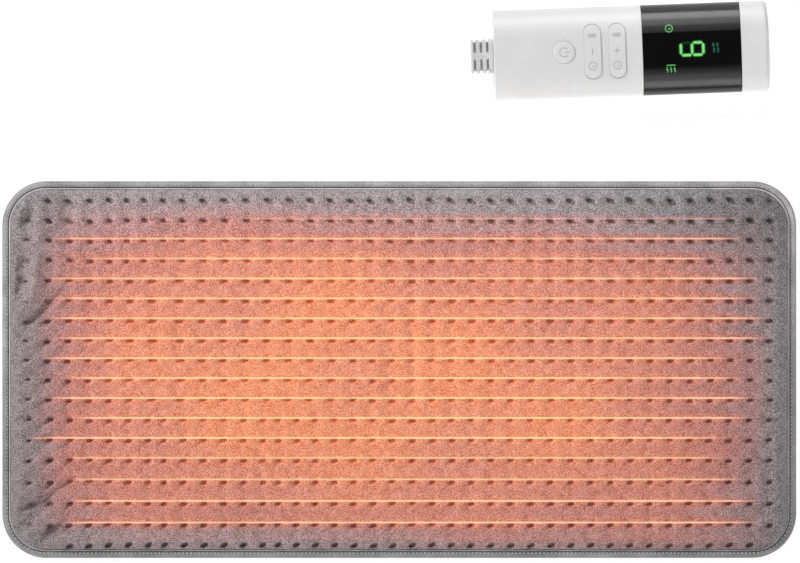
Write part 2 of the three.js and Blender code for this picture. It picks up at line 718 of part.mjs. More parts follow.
function displayFrame() {
  const arch = upperPart(tube(FRAME_INSET, FRAME_WALL, BAND_START - TONGUE, BAND_END + TONGUE));
  const low = LOWER_DEPTH + SEAM / 2;
  const hold = FRAME_INSET + FRAME_WALL / 2;
  const window = roundedRectangle(
    MODULE_LENGTH + 2 * FIT, MODULE_WIDTH + 2 * FIT, MODULE_CORNER + FIT, MODULE_X, 0);
  return join([
    arch.subtract(prism(window, BOARD_TOP, BODY_HEIGHT)),
    hangingBosses(BODY_SCREW_X[1], BODY_SCREW_Y, BOSS_R, SCREW_R + FIT, SCREW_GRIP, low, hold),
    hangingBosses(BOARD_SCREW_X[1], BOARD_SCREW_Y, BOARD_BOSS_R, BOARD_SCREW_R + FIT, BOARD_GRIP,
      BOARD_TOP, hold),
  ]);
}

// One bar of the digit: a long hexagon centred on a point, lying along X or along Y.
function segmentBar(x, y, length, alongX) {
  const half = length / 2 - SEGMENT_GAP;
  const side = SEGMENT_T / 2;
  const outline = [[-half, 0], [side - half, -side], [half - side, -side], [half, 0],
    [half - side, side], [side - half, side]];
  const points = outline.map(([along, across]) => (alongX
    ? new THREE.Vector2(x + along, y + across) : new THREE.Vector2(x - across, y + along)));
  return new THREE.Shape(points);
}

// Display module: a black block on the board, its digit's bars and lamps sunk in its face.
function displayModule() {
  const top = BODY_HEIGHT - MODULE_DROP;
  const low = top - SEGMENT_DEPTH;
  const over = top + CUT_OVER;
  const reachX = (DIGIT_LENGTH - SEGMENT_T) / 2;
  const reachY = (DIGIT_WIDTH - SEGMENT_T) / 2;
  const cuts = [
    post(LAMP_R, LAMP_X, LAMP_Y, low, over),
    post(LAMP_R, LAMP_X, -LAMP_Y, low, over),
    post(LAMP_R, UNIT_LAMP_X, 0, low, over),
  ];
  for (const row of [-1, 0, 1]) {
    cuts.push(prism(segmentBar(DIGIT_X + row * reachX, 0, 2 * reachY, false), low, over));
  }
  for (const half of [-1, 1]) {
    for (const side of [-1, 1]) {
      const upright = segmentBar(DIGIT_X + half * reachX / 2, side * reachY, reachX, true);
      cuts.push(prism(upright, low, over));
    }
  }
  const outline = roundedRectangle(MODULE_LENGTH, MODULE_WIDTH, MODULE_CORNER, MODULE_X, 0);
  return prism(outline, BOARD_TOP, top).subtract(join(cuts));
}

// Power button: a round cap with a lip under the roof and a stem that presses its dome.
function powerButton() {
  const lipTop = ROOF - FIT;
  const lipLow = lipTop - BUTTON_LIP_T;
  const top = BODY_HEIGHT + KEY_PROUD;
  return turned([
    [0, FOOT_Z], [STEM_R, FOOT_Z], [STEM_R, lipLow], [BUTTON_R + BUTTON_LIP, lipLow],
    [BUTTON_R + BUTTON_LIP, lipTop], [BUTTON_R, lipTop], [BUTTON_R, top - BUTTON_EDGE],
    [BUTTON_R - BUTTON_EDGE, top], [0, top]], BUTTON_X, 0);
}

// Rocker key: a hollow pill-shaped cap that follows the housing's curve, on two pivot pins.
function rockerKey(keyX) {
  const low = ROOF - ROCKER_SKIRT;
  const above = BODY_HEIGHT + CUT_OVER;
  const outside = prism(pill(ROCKER_WIDTH, ROCKER_LENGTH, keyX), low, above, ARC_STEPS)
    .intersect(bar(section(-KEY_PROUD), CORD_END, CAP_END));
  const hollow = pill(ROCKER_WIDTH - 2 * ROCKER_WALL, ROCKER_LENGTH - 2 * ROCKER_WALL, keyX);
  const inside = prism(hollow, low - CUT_OVER, above, ARC_STEPS)
    .intersect(bar(section(ROCKER_WALL), CORD_END, CAP_END));
  const web = box([keyX - ROCKER_WIDTH / 2 + ROCKER_WALL / 2, -PIVOT_R, low],
    [keyX + ROCKER_WIDTH / 2 - ROCKER_WALL / 2, PIVOT_R, ROOF]);
  const reach = ROCKER_WIDTH / 2 + KEY_GAP + FIT + SADDLE_T;
  const feet = bothSides((side) => post(STEM_R, keyX, side * ROCKER_FOOT_Y, FOOT_Z, ROOF));
  const limit = bar(section(0), CORD_END, CAP_END);
  return join([outside.subtract(inside), web, feet.intersect(limit),
    pin(PIVOT_R, keyX - reach, keyX + reach, 0, PIVOT_Z)]);
}

// Silicone return dome: a thin bell, open underneath, that stands on the board.
function dome(x, y) {
  const top = BOARD_TOP + DOME_H;
  const crown = top - 2 * DOME_WALL;
  return turned([
    [0, crown], [DOME_TOP_R - DOME_WALL, crown], [DOME_R - DOME_WALL, BOARD_TOP], [DOME_R, BOARD_TOP],
    [DOME_R, BOARD_TOP + DOME_WALL], [DOME_TOP_R, crown], [DOME_TOP_R, top], [0, top]], x, y);
}

function circuitBoard() {
  const length = BOARD_END - BOARD_START;
  const outline = roundedRectangle(length, BOARD_WIDTH, BOARD_CORNER, (BOARD_START + BOARD_END) / 2, 0);
  const holes = BOARD_SCREW_X.map((x) => bothSides((side) =>
    post(BOARD_SCREW_R + FIT, x, side * BOARD_SCREW_Y, BOARD_BOTTOM - CUT_OVER, BOARD_TOP + CUT_OVER)));
  return prism(outline, BOARD_BOTTOM, BOARD_TOP).subtract(join(holes));
}

// A screw driven upwards: head below, with a driver socket, and a pointed shank.
function screw(x, y, headLow, headR, headH, shankR, grip) {
  const shoulder = headLow + headH;
  const tip = shoulder + grip;
  const socket = headLow + SCREW_SOCKET;
  return turned([
    [0, socket], [headR / 2, socket], [headR / 2, headLow], [headR, headLow], [headR, shoulder],
    [shankR, shoulder], [shankR, tip - shankR], [0, tip]], x, y);
}

// A rectangular part that hangs under the board.
function hung(size, x, y) {
  const [length, width, height] = size;
  const top = BOARD_BOTTOM - FIT;
  return box([x - length / 2, y - width / 2, top - height], [x + length / 2, y + width / 2, top]);
}

// Power switch: a moulded body with its bored metal tab beside it.
function triac() {
  const tabX = TRIAC_X + (TRIAC_SIZE[0] + TRIAC_TAB[0]) / 2 - FIT;
  const hole = post(TRIAC_HOLE_R, tabX, 0, 0, BODY_HEIGHT);
  return hung(TRIAC_SIZE, TRIAC_X, 0).add(hung(TRIAC_TAB, tabX, 0)).subtract(hole);
}

// Terminal block for the cord's cores, bored from the cord end.
function terminalBlock() {
  const [length, width, height] = TERMINAL_SIZE;
  const pitch = width / TERMINAL_WAYS;
  const middle = BOARD_BOTTOM - FIT - height / 2;
  const start = TERMINAL_X - length / 2;
  const bores = Array.from({ length: TERMINAL_WAYS }, (_, way) =>
    pin(TERMINAL_HOLE_R, start - CUT_OVER, start + length / 2,
      (way - (TERMINAL_WAYS - 1) / 2) * pitch, middle));
  return hung(TERMINAL_SIZE, TERMINAL_X, 0).subtract(join(bores));
}

// Cartridge fuse: a glass barrel between two metal caps.
function fuse() {
  const z = BOARD_BOTTOM - FIT - FUSE_R;
  const start = FUSE_X - FUSE_LENGTH / 2;
  const end = FUSE_X + FUSE_LENGTH / 2;
  return join([
    pin(FUSE_GLASS_R, start + FIT, end - FIT, FUSE_Y, z),
    pin(FUSE_R, start, start + FUSE_CAP, FUSE_Y, z),
    pin(FUSE_R, end - FUSE_CAP, end, FUSE_Y, z)]);
}

// The boot's plain outside, drawn in towards the cord.
function bootHood(tip, root) {
  const outline = roundedRectangle(BOOT_WIDTH, BOOT_HEIGHT, BOOT_CORNER);
  const options = { depth: BOOT_LENGTH, bevelEnabled: false, curveSegments: CORNER_ARC_STEPS };
  const hood = barGeometry(outline, tip, options);
  const points = hood.attributes.position;
  for (let index = 0; index < points.count; index += 1) {
    const drawIn = 1 - BOOT_TAPER * (root - points.getX(index)) / BOOT_LENGTH;
    points.setY(index, points.getY(index) * drawIn);
    points.setZ(index, points.getZ(index) * drawIn);
  }
  return hood.translate(0, 0, LOWER_DEPTH);
}

// Strain relief: a tapered rubber boot, slit across from both sides round a sleeve and a spine.
function strainRelief() {
  const outline = (grow) => roundedRectangle(
    NECK_WIDTH + 2 * grow, NECK_HEIGHT + 2 * grow, NECK_CORNER, 0, LOWER_DEPTH);
  const outside = CORD_END - FIT;
  const tip = outside - BOOT_LENGTH;
  const hood = toSolid(bootHood(tip, outside));
  const kept = pin(BOOT_SLEEVE_R, tip - CUT_OVER, outside + CUT_OVER, 0, LOWER_DEPTH)
    .add(box([tip - CUT_OVER, -BOOT_SPINE / 2, -BODY_HEIGHT], [outside, BOOT_SPINE / 2, 2 * BODY_HEIGHT]));
  const slots = Array.from({ length: BOOT_SLOTS }, (_, index) => {
    const start = outside - BOOT_SLOT_START - index * BOOT_SLOT_PITCH - BOOT_SLOT / 2;
    return box([start, -BOOT_WIDTH, -BODY_HEIGHT], [start + BOOT_SLOT, BOOT_WIDTH, 2 * BODY_HEIGHT]);
  });
  const inside = CORD_END + WALL + FIT;
  const neck = bar(outline(0), outside - FIT, inside + NECK_FLANGE_T, CORNER_ARC_STEPS);
  const flange = bar(outline(NECK_FLANGE), inside, inside + NECK_FLANGE_T, CORNER_ARC_STEPS);
  const bore = pin(CORD_BORE_R, tip - CUT_OVER, inside + NECK_FLANGE_T + CUT_OVER, 0, LOWER_DEPTH);
  return join([hood.subtract(join(slots).subtract(kept)), neck, flange]).subtract(bore);
}

function buildController() {
  piece(controller, 'upper_housing', upperHousing(), FINISH.white);
  piece(controller, 'lower_housing', lowerHousing(), FINISH.white);
  piece(controller, 'end_cap', endCap(), FINISH.white);
  piece(controller, 'display_lens', upperPart(tube(0, LENS_WALL, BAND_START + FIT, BAND_END)), FINISH.lens);
  piece(controller, 'display_frame', displayFrame(), FINISH.black);
  piece(controller, 'display_module', displayModule(), FINISH.black);
  piece(controller, 'strain_relief', strainRelief(), FINISH.rubber);
  piece(controller, 'power_button', powerButton(), FINISH.white);
  piece(controller, 'power_dome', dome(BUTTON_X, 0), FINISH.rubber);
  const rockers = { decrease: DECREASE_X, increase: INCREASE_X };
  for (const [name, keyX] of Object.entries(rockers)) {
    piece(controller, `${name}_key`, rockerKey(keyX), FINISH.white);
    piece(controller, `${name}_heat_dome`, dome(keyX, ROCKER_FOOT_Y), FINISH.rubber);
    piece(controller, `${name}_timer_dome`, dome(keyX, -ROCKER_FOOT_Y), FINISH.rubber);
  }
  piece(controller, 'circuit_board', circuitBoard(), FINISH.board);
  piece(controller, 'triac', triac(), FINISH.part);
  piece(controller, 'filter_capacitor', hung(CAPACITOR_SIZE, CAPACITOR_X, 0), FINISH.blue);
  piece(controller, 'fuse', fuse(), FINISH.steel);
  piece(controller, 'terminal_block', terminalBlock(), FINISH.blue);
  piece(controller, 'control_chip', hung(CHIP_SIZE, CHIP_X, 0), FINISH.black);
  let number = 1;
  for (const end of [0, 1]) {
    for (const side of [-1, 1]) {
      piece(controller, `housing_screw_${number}`,
        screw(BODY_SCREW_X[end], side * BODY_SCREW_Y, SCREW_RECESS - FIT, SCREW_HEAD_R, SCREW_HEAD_H,
          SCREW_R, LOWER_DEPTH - SCREW_RECESS - SCREW_HEAD_H + SCREW_GRIP), FINISH.steel);
      piece(controller, `board_screw_${number}`,
        screw(BOARD_SCREW_X[end], side * BOARD_SCREW_Y, BOARD_BOTTOM - FIT - BOARD_HEAD_H, BOARD_HEAD_R,
          BOARD_HEAD_H, BOARD_SCREW_R, BOARD_T + FIT + BOARD_GRIP), FINISH.steel);
      number += 1;
    }
  }
}

buildPad();
buildController();

export default product;
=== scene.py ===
import math

import bmesh
import bpy
import numpy as np
from mathutils import Matrix, Vector


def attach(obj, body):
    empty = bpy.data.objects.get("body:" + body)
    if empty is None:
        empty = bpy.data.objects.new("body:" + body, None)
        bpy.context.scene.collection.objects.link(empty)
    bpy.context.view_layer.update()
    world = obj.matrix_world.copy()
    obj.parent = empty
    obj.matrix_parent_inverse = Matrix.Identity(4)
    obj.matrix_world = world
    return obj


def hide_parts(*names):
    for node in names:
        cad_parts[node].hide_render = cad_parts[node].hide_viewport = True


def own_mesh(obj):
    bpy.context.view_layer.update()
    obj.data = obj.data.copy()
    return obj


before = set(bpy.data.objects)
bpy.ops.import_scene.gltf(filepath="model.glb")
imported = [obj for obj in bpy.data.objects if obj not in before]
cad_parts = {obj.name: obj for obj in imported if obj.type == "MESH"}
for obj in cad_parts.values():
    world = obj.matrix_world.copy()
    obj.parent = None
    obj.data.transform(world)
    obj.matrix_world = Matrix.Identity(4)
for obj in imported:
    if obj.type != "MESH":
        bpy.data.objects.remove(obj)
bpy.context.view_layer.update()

# Top cover: one piece of grey heather plush, about 2 mm thick, pressed with rows of small slanted dots
# that quilt it to the felt below. The wires warm it from inside; the warm orange over its middle and the
# lines over the wire runs are painted glow, in its colour and as light sent out by the pile.
MM = 0.001
PAD_LENGTH = 520.0
PAD_DEPTH = 246.8
PAD_CORNER = 29.0
# Half lengths of the straight stretches of the pad's sides.
SIDE_X = PAD_LENGTH / 2 - PAD_CORNER
SIDE_Y = PAD_DEPTH / 2 - PAD_CORNER
COVER_INSET = 5.0
COVER_RIM = 3.3
COVER_CROWN = 10.5
CROWN_RUN = 11.0
# The cover's underside, turned in from its rim as (inset, height), and the least height of its top over
# that at some insets.
COVER_UNDERSIDE = [(COVER_INSET, COVER_RIM - 0.9), (12.0, 3.4), (19.0, 7.5)]
COVER_LEAST = ([COVER_INSET, 12, 19], [2.6, 4.3, 7.8])
DOT_PITCH = 13.1
# Middles of some dots along a row, counted from the left, in the back, middle and front rows: the press
# was set three times, and the rows on the left don't quite line up.
DOT_COLUMNS = {
    3.5: ([-0.5, 0, 3, 4, 6, 8, 13, 18, 37, 37.5],
          [-249, -242, -202.1, -189.7, -166.9, -141.4, -71.4, -5.1, 243, 249.6]),
    10.5: ([-0.5, 0, 5, 6, 7, 15, 17, 36, 36.5],
           [-250, -243.3, -176, -161.6, -142.7, -30.2, -4.7, 242.4, 249]),
    17.5: ([-0.5, 0, 4, 6, 7, 12, 13, 17, 19, 38, 38.5],
           [-249, -242, -189.7, -163.6, -153.8, -89.1, -79.3, -29.6, -4.7, 241.7, 248.3]),
}
# Heights across the pad of the dot rows: even pitch, but wider apart near the front edge.
ROW_AT = [-0.5, 0, 13, 16, 17, 17.5]
ROW_HEIGHT = [116.6, 110.1, -59.3, -101.6, -114.8, -121.3]
DOT_HALF = (2.55, 1.5)
DOT_DEPTH = 1.8
# The press misses the corner beyond this place, and a strip this wide along the edge.
MISSED_CORNER = (-226, -108)
MISSED_EDGE = 6.2
PUCKER_DEPTH = 0.7
PUCKER_REACH = 5.0
LINE_LIFT = 1.75
LINE_RIDGE = 0.22
# Spacing of the mesh along the pad, its stations to a row of dots, and how far they crowd at the dots.
COVER_STEP = 1.2
PER_ROW = 11
ROW_CROWDING = 0.55
SLACK_CELLS = (196, 93)
SLACK_EASE = 0.05
SLACK_PRESSURE = 4.0
SLACK_FRAMES = 20
SLACK_RISE = 1.3
# The simulation runs on a sheet ten times the size, where the cloth solver is steady.
SLACK_SCALE = 0.01
# Creases of the pile: ends (x, y), half width and height, a valley where the height is negative.
CREASES = [
    (-252, 78, -254, 42, 2.8, 1.6),
    (-245, 80, -248.5, 40, 5.0, -4.2),
    (-236.5, 82, -238.5, 46, 4.8, 2.6),
    (-238.5, 52, -258, 27, 3.6, 2.8),
    (-219, 56, -253, 16, 4.0, -2.8),
    (-252, 14, -253, 4, 3.6, -1.6),
    (-235, 116, -235, 80, 5.5, 2.4),
    (-220, 122, -218, 94, 5.0, -2.2),
    (-240, 114.5, -253, 96, 2.6, 2.2),
    (-234, 110, -248, 90, 4.2, -3.4),
    (-242, 86, -254, 80, 2.6, -1.5),
    (-233, -73, -254, -91, 3.6, 1.9),
    (-211, -69, -232, -86, 2.8, -2.2),
    (-228, -85, -255, -95, 2.6, -2.6),
    (-217, -90, -251, -109, 3.2, 2.1),
    (-244, -99, -253, -103, 2.2, -1.8),
    (-217, -96, -237, -116, 3.4, -2.6),
    (-18, 58, -14, -38, 5.0, 0.9),
    (-11, 58, -7, -38, 4.0, -0.7),
    (8, 60, 9, -40, 4.0, -0.9),
    (15, 55, 16, -35, 4.5, 0.7),
    (34, 50, 36, -30, 5.0, -0.6),
    (-128, 84, -118, 44, 5.0, -0.6),
    (-96, 98, -82, 60, 5.0, 0.6),
    (180, 70, 215, 96, 6.0, 0.6),
    (206, -100, 248, -70, 5.0, 0.8),
    (214, -108, 250, -80, 4.0, -0.7),
]
# Pleats drawn up slantwise to the dots at the left end, and the tuck beside every dot.
PLEAT_HEIGHT = 2.2
PLEAT_SLOPE = 0.8
TUCK_HEIGHT = 0.9
TUCK_TURN = math.radians(42)
# Where the painted glow of each wire run starts and stops, and how strong it is, from the back edge to the
# front.
GLOW_START = [-102, -225, -203, -229, -224, -227, -222, -230, -215, -228, -211, -239, -215, -213, -214, -219]
GLOW_STOP = [222, 222, 203, 233, 231, 239, 238, 214, 222, 230, 227, 208, 208, 222, 231, 231]
GLOW_LEVEL = [0.45, 0.9, 0.9, 1, 0.95, 1, 1, 1, 1, 1, 1, 1, 0.7, 0.74, 0.95, 0.95]


def rise(value, low, high):
    """A smooth step from 0 at low to 1 at high."""
    share = np.clip((value - low) / (high - low), 0, 1)
    return share * share * (3 - 2 * share)


def round_corners(x, y, inset):
    """Moves points of the rectangle at this inset so that its square corners become the pad's round ones."""
    radius = PAD_CORNER - inset
    over_x = np.maximum(np.abs(x) - SIDE_X, 0)
    over_y = np.maximum(np.abs(y) - SIDE_Y, 0)
    new_x = over_x * np.sqrt(1 - over_y**2 / (2 * radius**2))
    new_y = over_y * np.sqrt(1 - over_x**2 / (2 * radius**2))
    return x + np.sign(x) * (new_x - over_x), y + np.sign(y) * (new_y - over_y)


def from_edge(x, y):
    """How far inside the pad's outline a point lies."""
    over_x = np.abs(x) - SIDE_X
    over_y = np.abs(y) - SIDE_Y
    outside = np.hypot(np.maximum(over_x, 0), np.maximum(over_y, 0))
    return PAD_CORNER - outside - np.minimum(np.maximum(over_x, over_y), 0)


def row_of(y):
    """The row of dots at a height across the pad, counted from the back edge."""
    return np.interp(-np.asarray(y), [-h for h in ROW_HEIGHT], ROW_AT)


def dot_grid(x, y):
    """Column, row and wire run at each point; whole numbers are the middles of the dots and of the runs."""
    pull = 1 + 1.6 * np.exp(-(x + 260) / 45)
    drift_x = 0.03 * pull * np.sin(x / 19 + 1.7 * np.sin(y / 27) + y / 41)
    drift_y = 0.03 * pull * np.sin(y / 17 + 1.9 * np.sin(x / 33) + x / 29)
    column = np.zeros_like(x)
    for last_row, (numbers, middles) in reversed(DOT_COLUMNS.items()):
        column = np.where(row_of(y) < last_row, np.interp(x, middles, numbers), column)
    row = row_of(y)
    run = row_of(y - LINE_LIFT)
    return column + drift_x, row + drift_y, run


def dot_slant(y):
    """How steeply the dots of a row slope down to the right."""
    return np.interp(y, [-116, -104, -60, 0, 60, 110], [-0.28, -0.05, 0.02, 0.1, 0.25, 0.42])


def dot_swell(x, y):
    """The size of the dots: fullest at the back right and in the outer rows, least in the first column."""
    right = rise(x, -120, 190) * (0.3 * rise(y, -20, 60) - 0.06)
    return 1 + right + 0.1 * rise(np.abs(y + 2), 88, 106) - 0.3 * rise(x, -230, -238)


def dot_share(column, row, x, y):
    """How far a point lies from the middle of its slanted dot, where 1 is the dot's rim."""
    across = (column - np.round(column)) * DOT_PITCH
    up = -(row - np.round(row)) * DOT_PITCH
    return np.hypot(across / DOT_HALF[0], (up + dot_slant(y) * across) / DOT_HALF[1]) / dot_swell(x, y)


def dots_pressed(x, y):
    """1 where the cover has dots, 0 at the corner that the press misses and beyond the outer rows."""
    missed = (x < MISSED_CORNER[0]) & (y < MISSED_CORNER[1])
    return np.where(missed | (from_edge(x, y) < MISSED_EDGE), 0.0, 1.0)


def dot_matting_and_shade(x, y):
    """How dark the dots are painted, partly for the matting of the pile and partly as painted shade of
    the dents: most in the front row, least in the end columns.
    """
    return (1 - 0.55 * rise(np.abs(x), 231, 237)) * (1 + 0.6 * rise(y, -105, -110))


def crease_height(x, y):
    """How high the creases of the pile stand at each point, or how deep."""
    total = np.zeros_like(x)
    for x0, y0, x1, y1, half, height in CREASES:
        length = math.hypot(x1 - x0, y1 - y0)
        along = ((x - x0) * (x1 - x0) + (y - y0) * (y1 - y0)) / length
        aside = ((x - x0) * (y1 - y0) - (y - y0) * (x1 - x0)) / length
        aside = aside + 0.7 * np.sin(along / 9 + x0)
        fade = rise(along, -5, 0.3 * length) * rise(along, length + 7, 0.65 * length)
        total += height * fade * np.exp(-((aside / half) ** 2))
    return total


def drawn_up(x, y, column, row):
    """Slanting pleats at the cover's left end, and the tuck that each dot draws up at its lower right."""
    pleat = row + PLEAT_SLOPE * (column - 1) + 0.42 + 0.1 * np.sin(x / 15 + y / 37)
    number = np.round(pleat)
    deep = 0.68 + 0.32 * np.sin(2.3 * number + x / 22)
    pleat = (pleat - number) * DOT_PITCH
    left = rise(x, -196, -240) * rise(y, 90, 20) * rise(from_edge(x, y), 5, 9)
    across = (column - np.round(column)) * DOT_PITCH
    up = -(row - np.round(row)) * DOT_PITCH
    along = across * math.cos(TUCK_TURN) + up * math.sin(TUCK_TURN)
    aside = across * math.sin(TUCK_TURN) - up * math.cos(TUCK_TURN)
    tuck = np.exp(-(((aside - 2.8) / 1.7) ** 2)) - 0.8 * np.exp(-(((aside - 0.1) / 1.7) ** 2))
    tuck = tuck * np.exp(-(((along + 1.4) / 4.2) ** 2))
    strong = (0.55 + 0.45 * rise(x, -60, -200)) * rise(x, -246, -230)
    pleats = PLEAT_HEIGHT * deep * left * np.exp(-((pleat / 2.3) ** 2))
    return pleats + TUCK_HEIGHT * strong * dots_pressed(x, y) * tuck


def cover_height(x, y):
    """The cover's top: crowned from its sewn rim, creased, raised over the wires and pressed at the dots."""
    column, row, run = dot_grid(x, y)
    inside = np.clip((from_edge(x, y) - COVER_INSET) / CROWN_RUN, 0, 1)
    crown = COVER_RIM + (COVER_CROWN - COVER_RIM) * np.sin(inside * math.pi / 2) ** 0.8
    share = dot_share(column, row, x, y)
    reach = np.hypot(column - np.round(column), row - np.round(row)) * DOT_PITCH / PUCKER_REACH
    pressed = dots_pressed(x, y)
    dimple = pressed * DOT_DEPTH * rise(share, 1.3, 0.45)
    pucker = pressed * PUCKER_DEPTH * rise(x, -246, -228) * np.exp(-(reach**2))
    ridge = LINE_RIDGE * np.exp(-(((run - np.round(run)) * DOT_PITCH / 1.3) ** 2))
    slack = 0.22 * np.sin(x / 13 + 2 * np.sin(y / 21)) * np.sin(y / 16 + 1.5 * np.sin(x / 31))
    loose = np.clip((from_edge(x, y) - COVER_INSET) / 5, 0, 1)
    folds = crease_height(x, y) + drawn_up(x, y, column, row)
    top = crown + loose * (folds + ridge + slack - pucker) - dimple * rise(from_edge(x, y), COVER_INSET, 8)
    return np.maximum(top, np.interp(from_edge(x, y), *COVER_LEAST))


def slack_cloth():
    """The cover's looseness from a cloth simulation: a sheet cut a little large, held at the rim and the
    dots and pressed up by the felt. Returns the stations along and across, and the rise at each, in mm."""
    along = np.linspace(-PAD_LENGTH / 2 + COVER_INSET, PAD_LENGTH / 2 - COVER_INSET, SLACK_CELLS[0] + 1)
    across = np.linspace(-PAD_DEPTH / 2 + COVER_INSET, PAD_DEPTH / 2 - COVER_INSET, SLACK_CELLS[1] + 1)
    bm = bmesh.new()
    bmesh.ops.create_grid(bm, x_segments=SLACK_CELLS[0], y_segments=SLACK_CELLS[1], size=1)
    flat = np.array([v.co for v in bm.verts])
    x, y = round_corners(flat[:, 0] * along[-1], flat[:, 1] * across[-1], COVER_INSET)
    column, row, _ = dot_grid(x, y)
    held = (dot_share(column, row, x, y) < 1.15) & (dots_pressed(x, y) > 0)
    held = held | (from_edge(x, y) < COVER_INSET + 1.5)
    for vert, spot in zip(bm.verts, zip(x * SLACK_SCALE, y * SLACK_SCALE)):
        vert.co = (*spot, 0)
    mesh = bpy.data.meshes.new("cover_slack")
    bm.to_mesh(mesh)
    bm.free()
    sheet = bpy.data.objects.new("cover_slack", mesh)
    bpy.context.scene.collection.objects.link(sheet)
    sheet.vertex_groups.new(name="held").add(np.flatnonzero(held).tolist(), 1.0, "REPLACE")
    cloth = sheet.modifiers.new("slack", "CLOTH")
    cloth.settings.vertex_group_mass = "held"
    cloth.settings.quality = 6
    cloth.settings.mass = 0.3
    cloth.settings.shrink_min = -SLACK_EASE
    cloth.settings.use_pressure = True
    cloth.settings.uniform_pressure_force = SLACK_PRESSURE
    cloth.settings.bending_stiffness = 0.5
    cloth.settings.effector_weights.gravity = 0.0
    cloth.collision_settings.use_collision = False
    cloth.point_cache.frame_end = SLACK_FRAMES
    for number in range(1, SLACK_FRAMES + 1):
        bpy.context.scene.frame_set(number)
    risen = sheet.evaluated_get(bpy.context.evaluated_depsgraph_get()).data
    places = np.empty(len(risen.vertices) * 3)
    risen.vertices.foreach_get("co", places)
    rise_up = places[2::3] * SLACK_RISE / np.percentile(places[2::3], 99)
    bpy.context.scene.frame_set(1)
    bpy.data.objects.remove(sheet)
    order = np.lexsort((np.round(flat[:, 0], 5), np.round(flat[:, 1], 5)))
    return along, across, rise_up[order].reshape(len(across), len(along))


def between_stations(along, across, heights, x, y):
    """Reads a field of heights, smoothly, at places on the pad."""
    i = np.clip(np.searchsorted(along, x) - 1, 0, len(along) - 2)
    j = np.clip(np.searchsorted(across, y) - 1, 0, len(across) - 2)
    u = rise(x, along[i], along[i + 1])
    v = rise(y, across[j], across[j + 1])
    low = heights[j, i] * (1 - u) + heights[j, i + 1] * u
    high = heights[j + 1, i] * (1 - u) + heights[j + 1, i + 1] * u
    return low * (1 - v) + high * v


def warm_glow_field(x, y):
    """How strongly the pile is painted with the wires' warm glow: most left of the middle, fading to the grey
    margins.
    """
    along = np.interp(
        x, [-262, -247, -238, -228, -214, -183, -137, -78, -12, 53, 118, 170, 206, 232, 249],
        [0.04, 0.09, 0.2, 0.41, 0.63, 0.85, 0.94, 1.02, 0.98, 0.96, 0.9, 0.79, 0.62, 0.36, 0.0],
    )
    across = np.interp(
        y + 0.04 * np.maximum(x, -60), [-123, -114, -100, -75, -39, 0, 39, 73, 96, 109, 120],
        [0.08, 0.25, 0.72, 0.86, 1.02, 1.0, 0.95, 0.84, 0.45, 0.11, 0.0],
    )
    streaks = 0.05 * np.sin(x / 31 + y / 19) + 0.04 * np.sin(x / 17 - y / 23)
    return np.clip(along * across * (1 + streaks), 0, 1.1)


def painted_light_and_shade(x, y):
    """Painted light and shade across the pad: palest at the back, darker in front, at both ends and at the
    back right.
    """
    along = np.interp(
        x, [-255, -240, -219, -183, -137, 0, 118, 170, 206, 232, 243, 251],
        [0.87, 0.92, 0.97, 1.01, 1.0, 1.0, 0.985, 0.96, 0.93, 0.875, 0.88, 0.95],
    )
    shaded = 1 - 0.1 * np.clip((x - 130) / 80, 0, 1) * np.clip((y - 60) / 40, 0, 1)
    across = np.interp(y, [-118, -110, -100, -75, 0, 85, 110], [0.81, 0.89, 0.91, 0.93, 0.97, 0.99, 1.03])
    return along * across * shaded


def glow_strength(x, y):
    """The envelope of the painted glow of the nearest wire run."""
    place = row_of(y - LINE_LIFT)
    run = np.clip(np.round(place).astype(int) - 1, 0, len(GLOW_LEVEL) - 1)
    start = np.array(GLOW_START)[run]
    stop = np.array(GLOW_STOP)[run]
    level = np.array(GLOW_LEVEL)[run]
    shown = np.where((place > 0.5) & (place < len(GLOW_LEVEL) + 0.5), 1.0, 0.0)
    return shown * level * rise(x, start - 8, start + 16) * rise(x, stop + 8, stop - 18)


def soften(bm, sharp):
    """Shades a mesh smooth but for the edges sharper than the angle, in degrees."""
    for face in bm.faces:
        face.smooth = True
    for edge in bm.edges:
        edge.smooth = not (edge.is_manifold and edge.calc_face_angle() > math.radians(sharp))


def mesh_piece(name, bm, sharp=40):
    """Turns a bmesh drawn in millimetres into a piece in metres."""
    bmesh.ops.recalc_face_normals(bm, faces=bm.faces)
    bmesh.ops.scale(bm, vec=(MM, MM, MM), verts=bm.verts)
    soften(bm, sharp)
    mesh = bpy.data.meshes.new(name)
    bm.to_mesh(mesh)
    bm.free()
    piece = bpy.data.objects.new(name, mesh)
    bpy.context.scene.collection.objects.link(piece)
    return piece


def points_of(piece):
    """The x, y and z of a piece's points, in millimetres."""
    places = np.empty(len(piece.data.vertices) * 3)
    piece.data.vertices.foreach_get("co", places)
    return places.reshape(-1, 3).T / MM


def cloth_notes(piece):
    """Writes the dot grid, the painted warm glow, the painted light and shade, and the painted glow of the
    wire runs on the piece's points, for its material.
    """
    x, y, _ = points_of(piece)
    grid = np.stack(dot_grid(x, y), axis=1)
    piece.data.attributes.new("dot_grid", "FLOAT_VECTOR", "POINT").data.foreach_set("vector", grid.ravel())
    # pressed: how dark the dots are painted, for the matting of the pile and as painted shade of the dents.
    fields = {
        "painted_warm_glow": warm_glow_field(x, y), "painted_light_share": painted_light_and_shade(x, y), "glow": glow_strength(x, y),
        "slant": dot_slant(y), "swell": dot_swell(x, y), "pressed": dots_pressed(x, y) * dot_matting_and_shade(x, y),
    }
    for name, values in fields.items():
        piece.data.attributes.new(name, "FLOAT", "POINT").data.foreach_set("value", values)


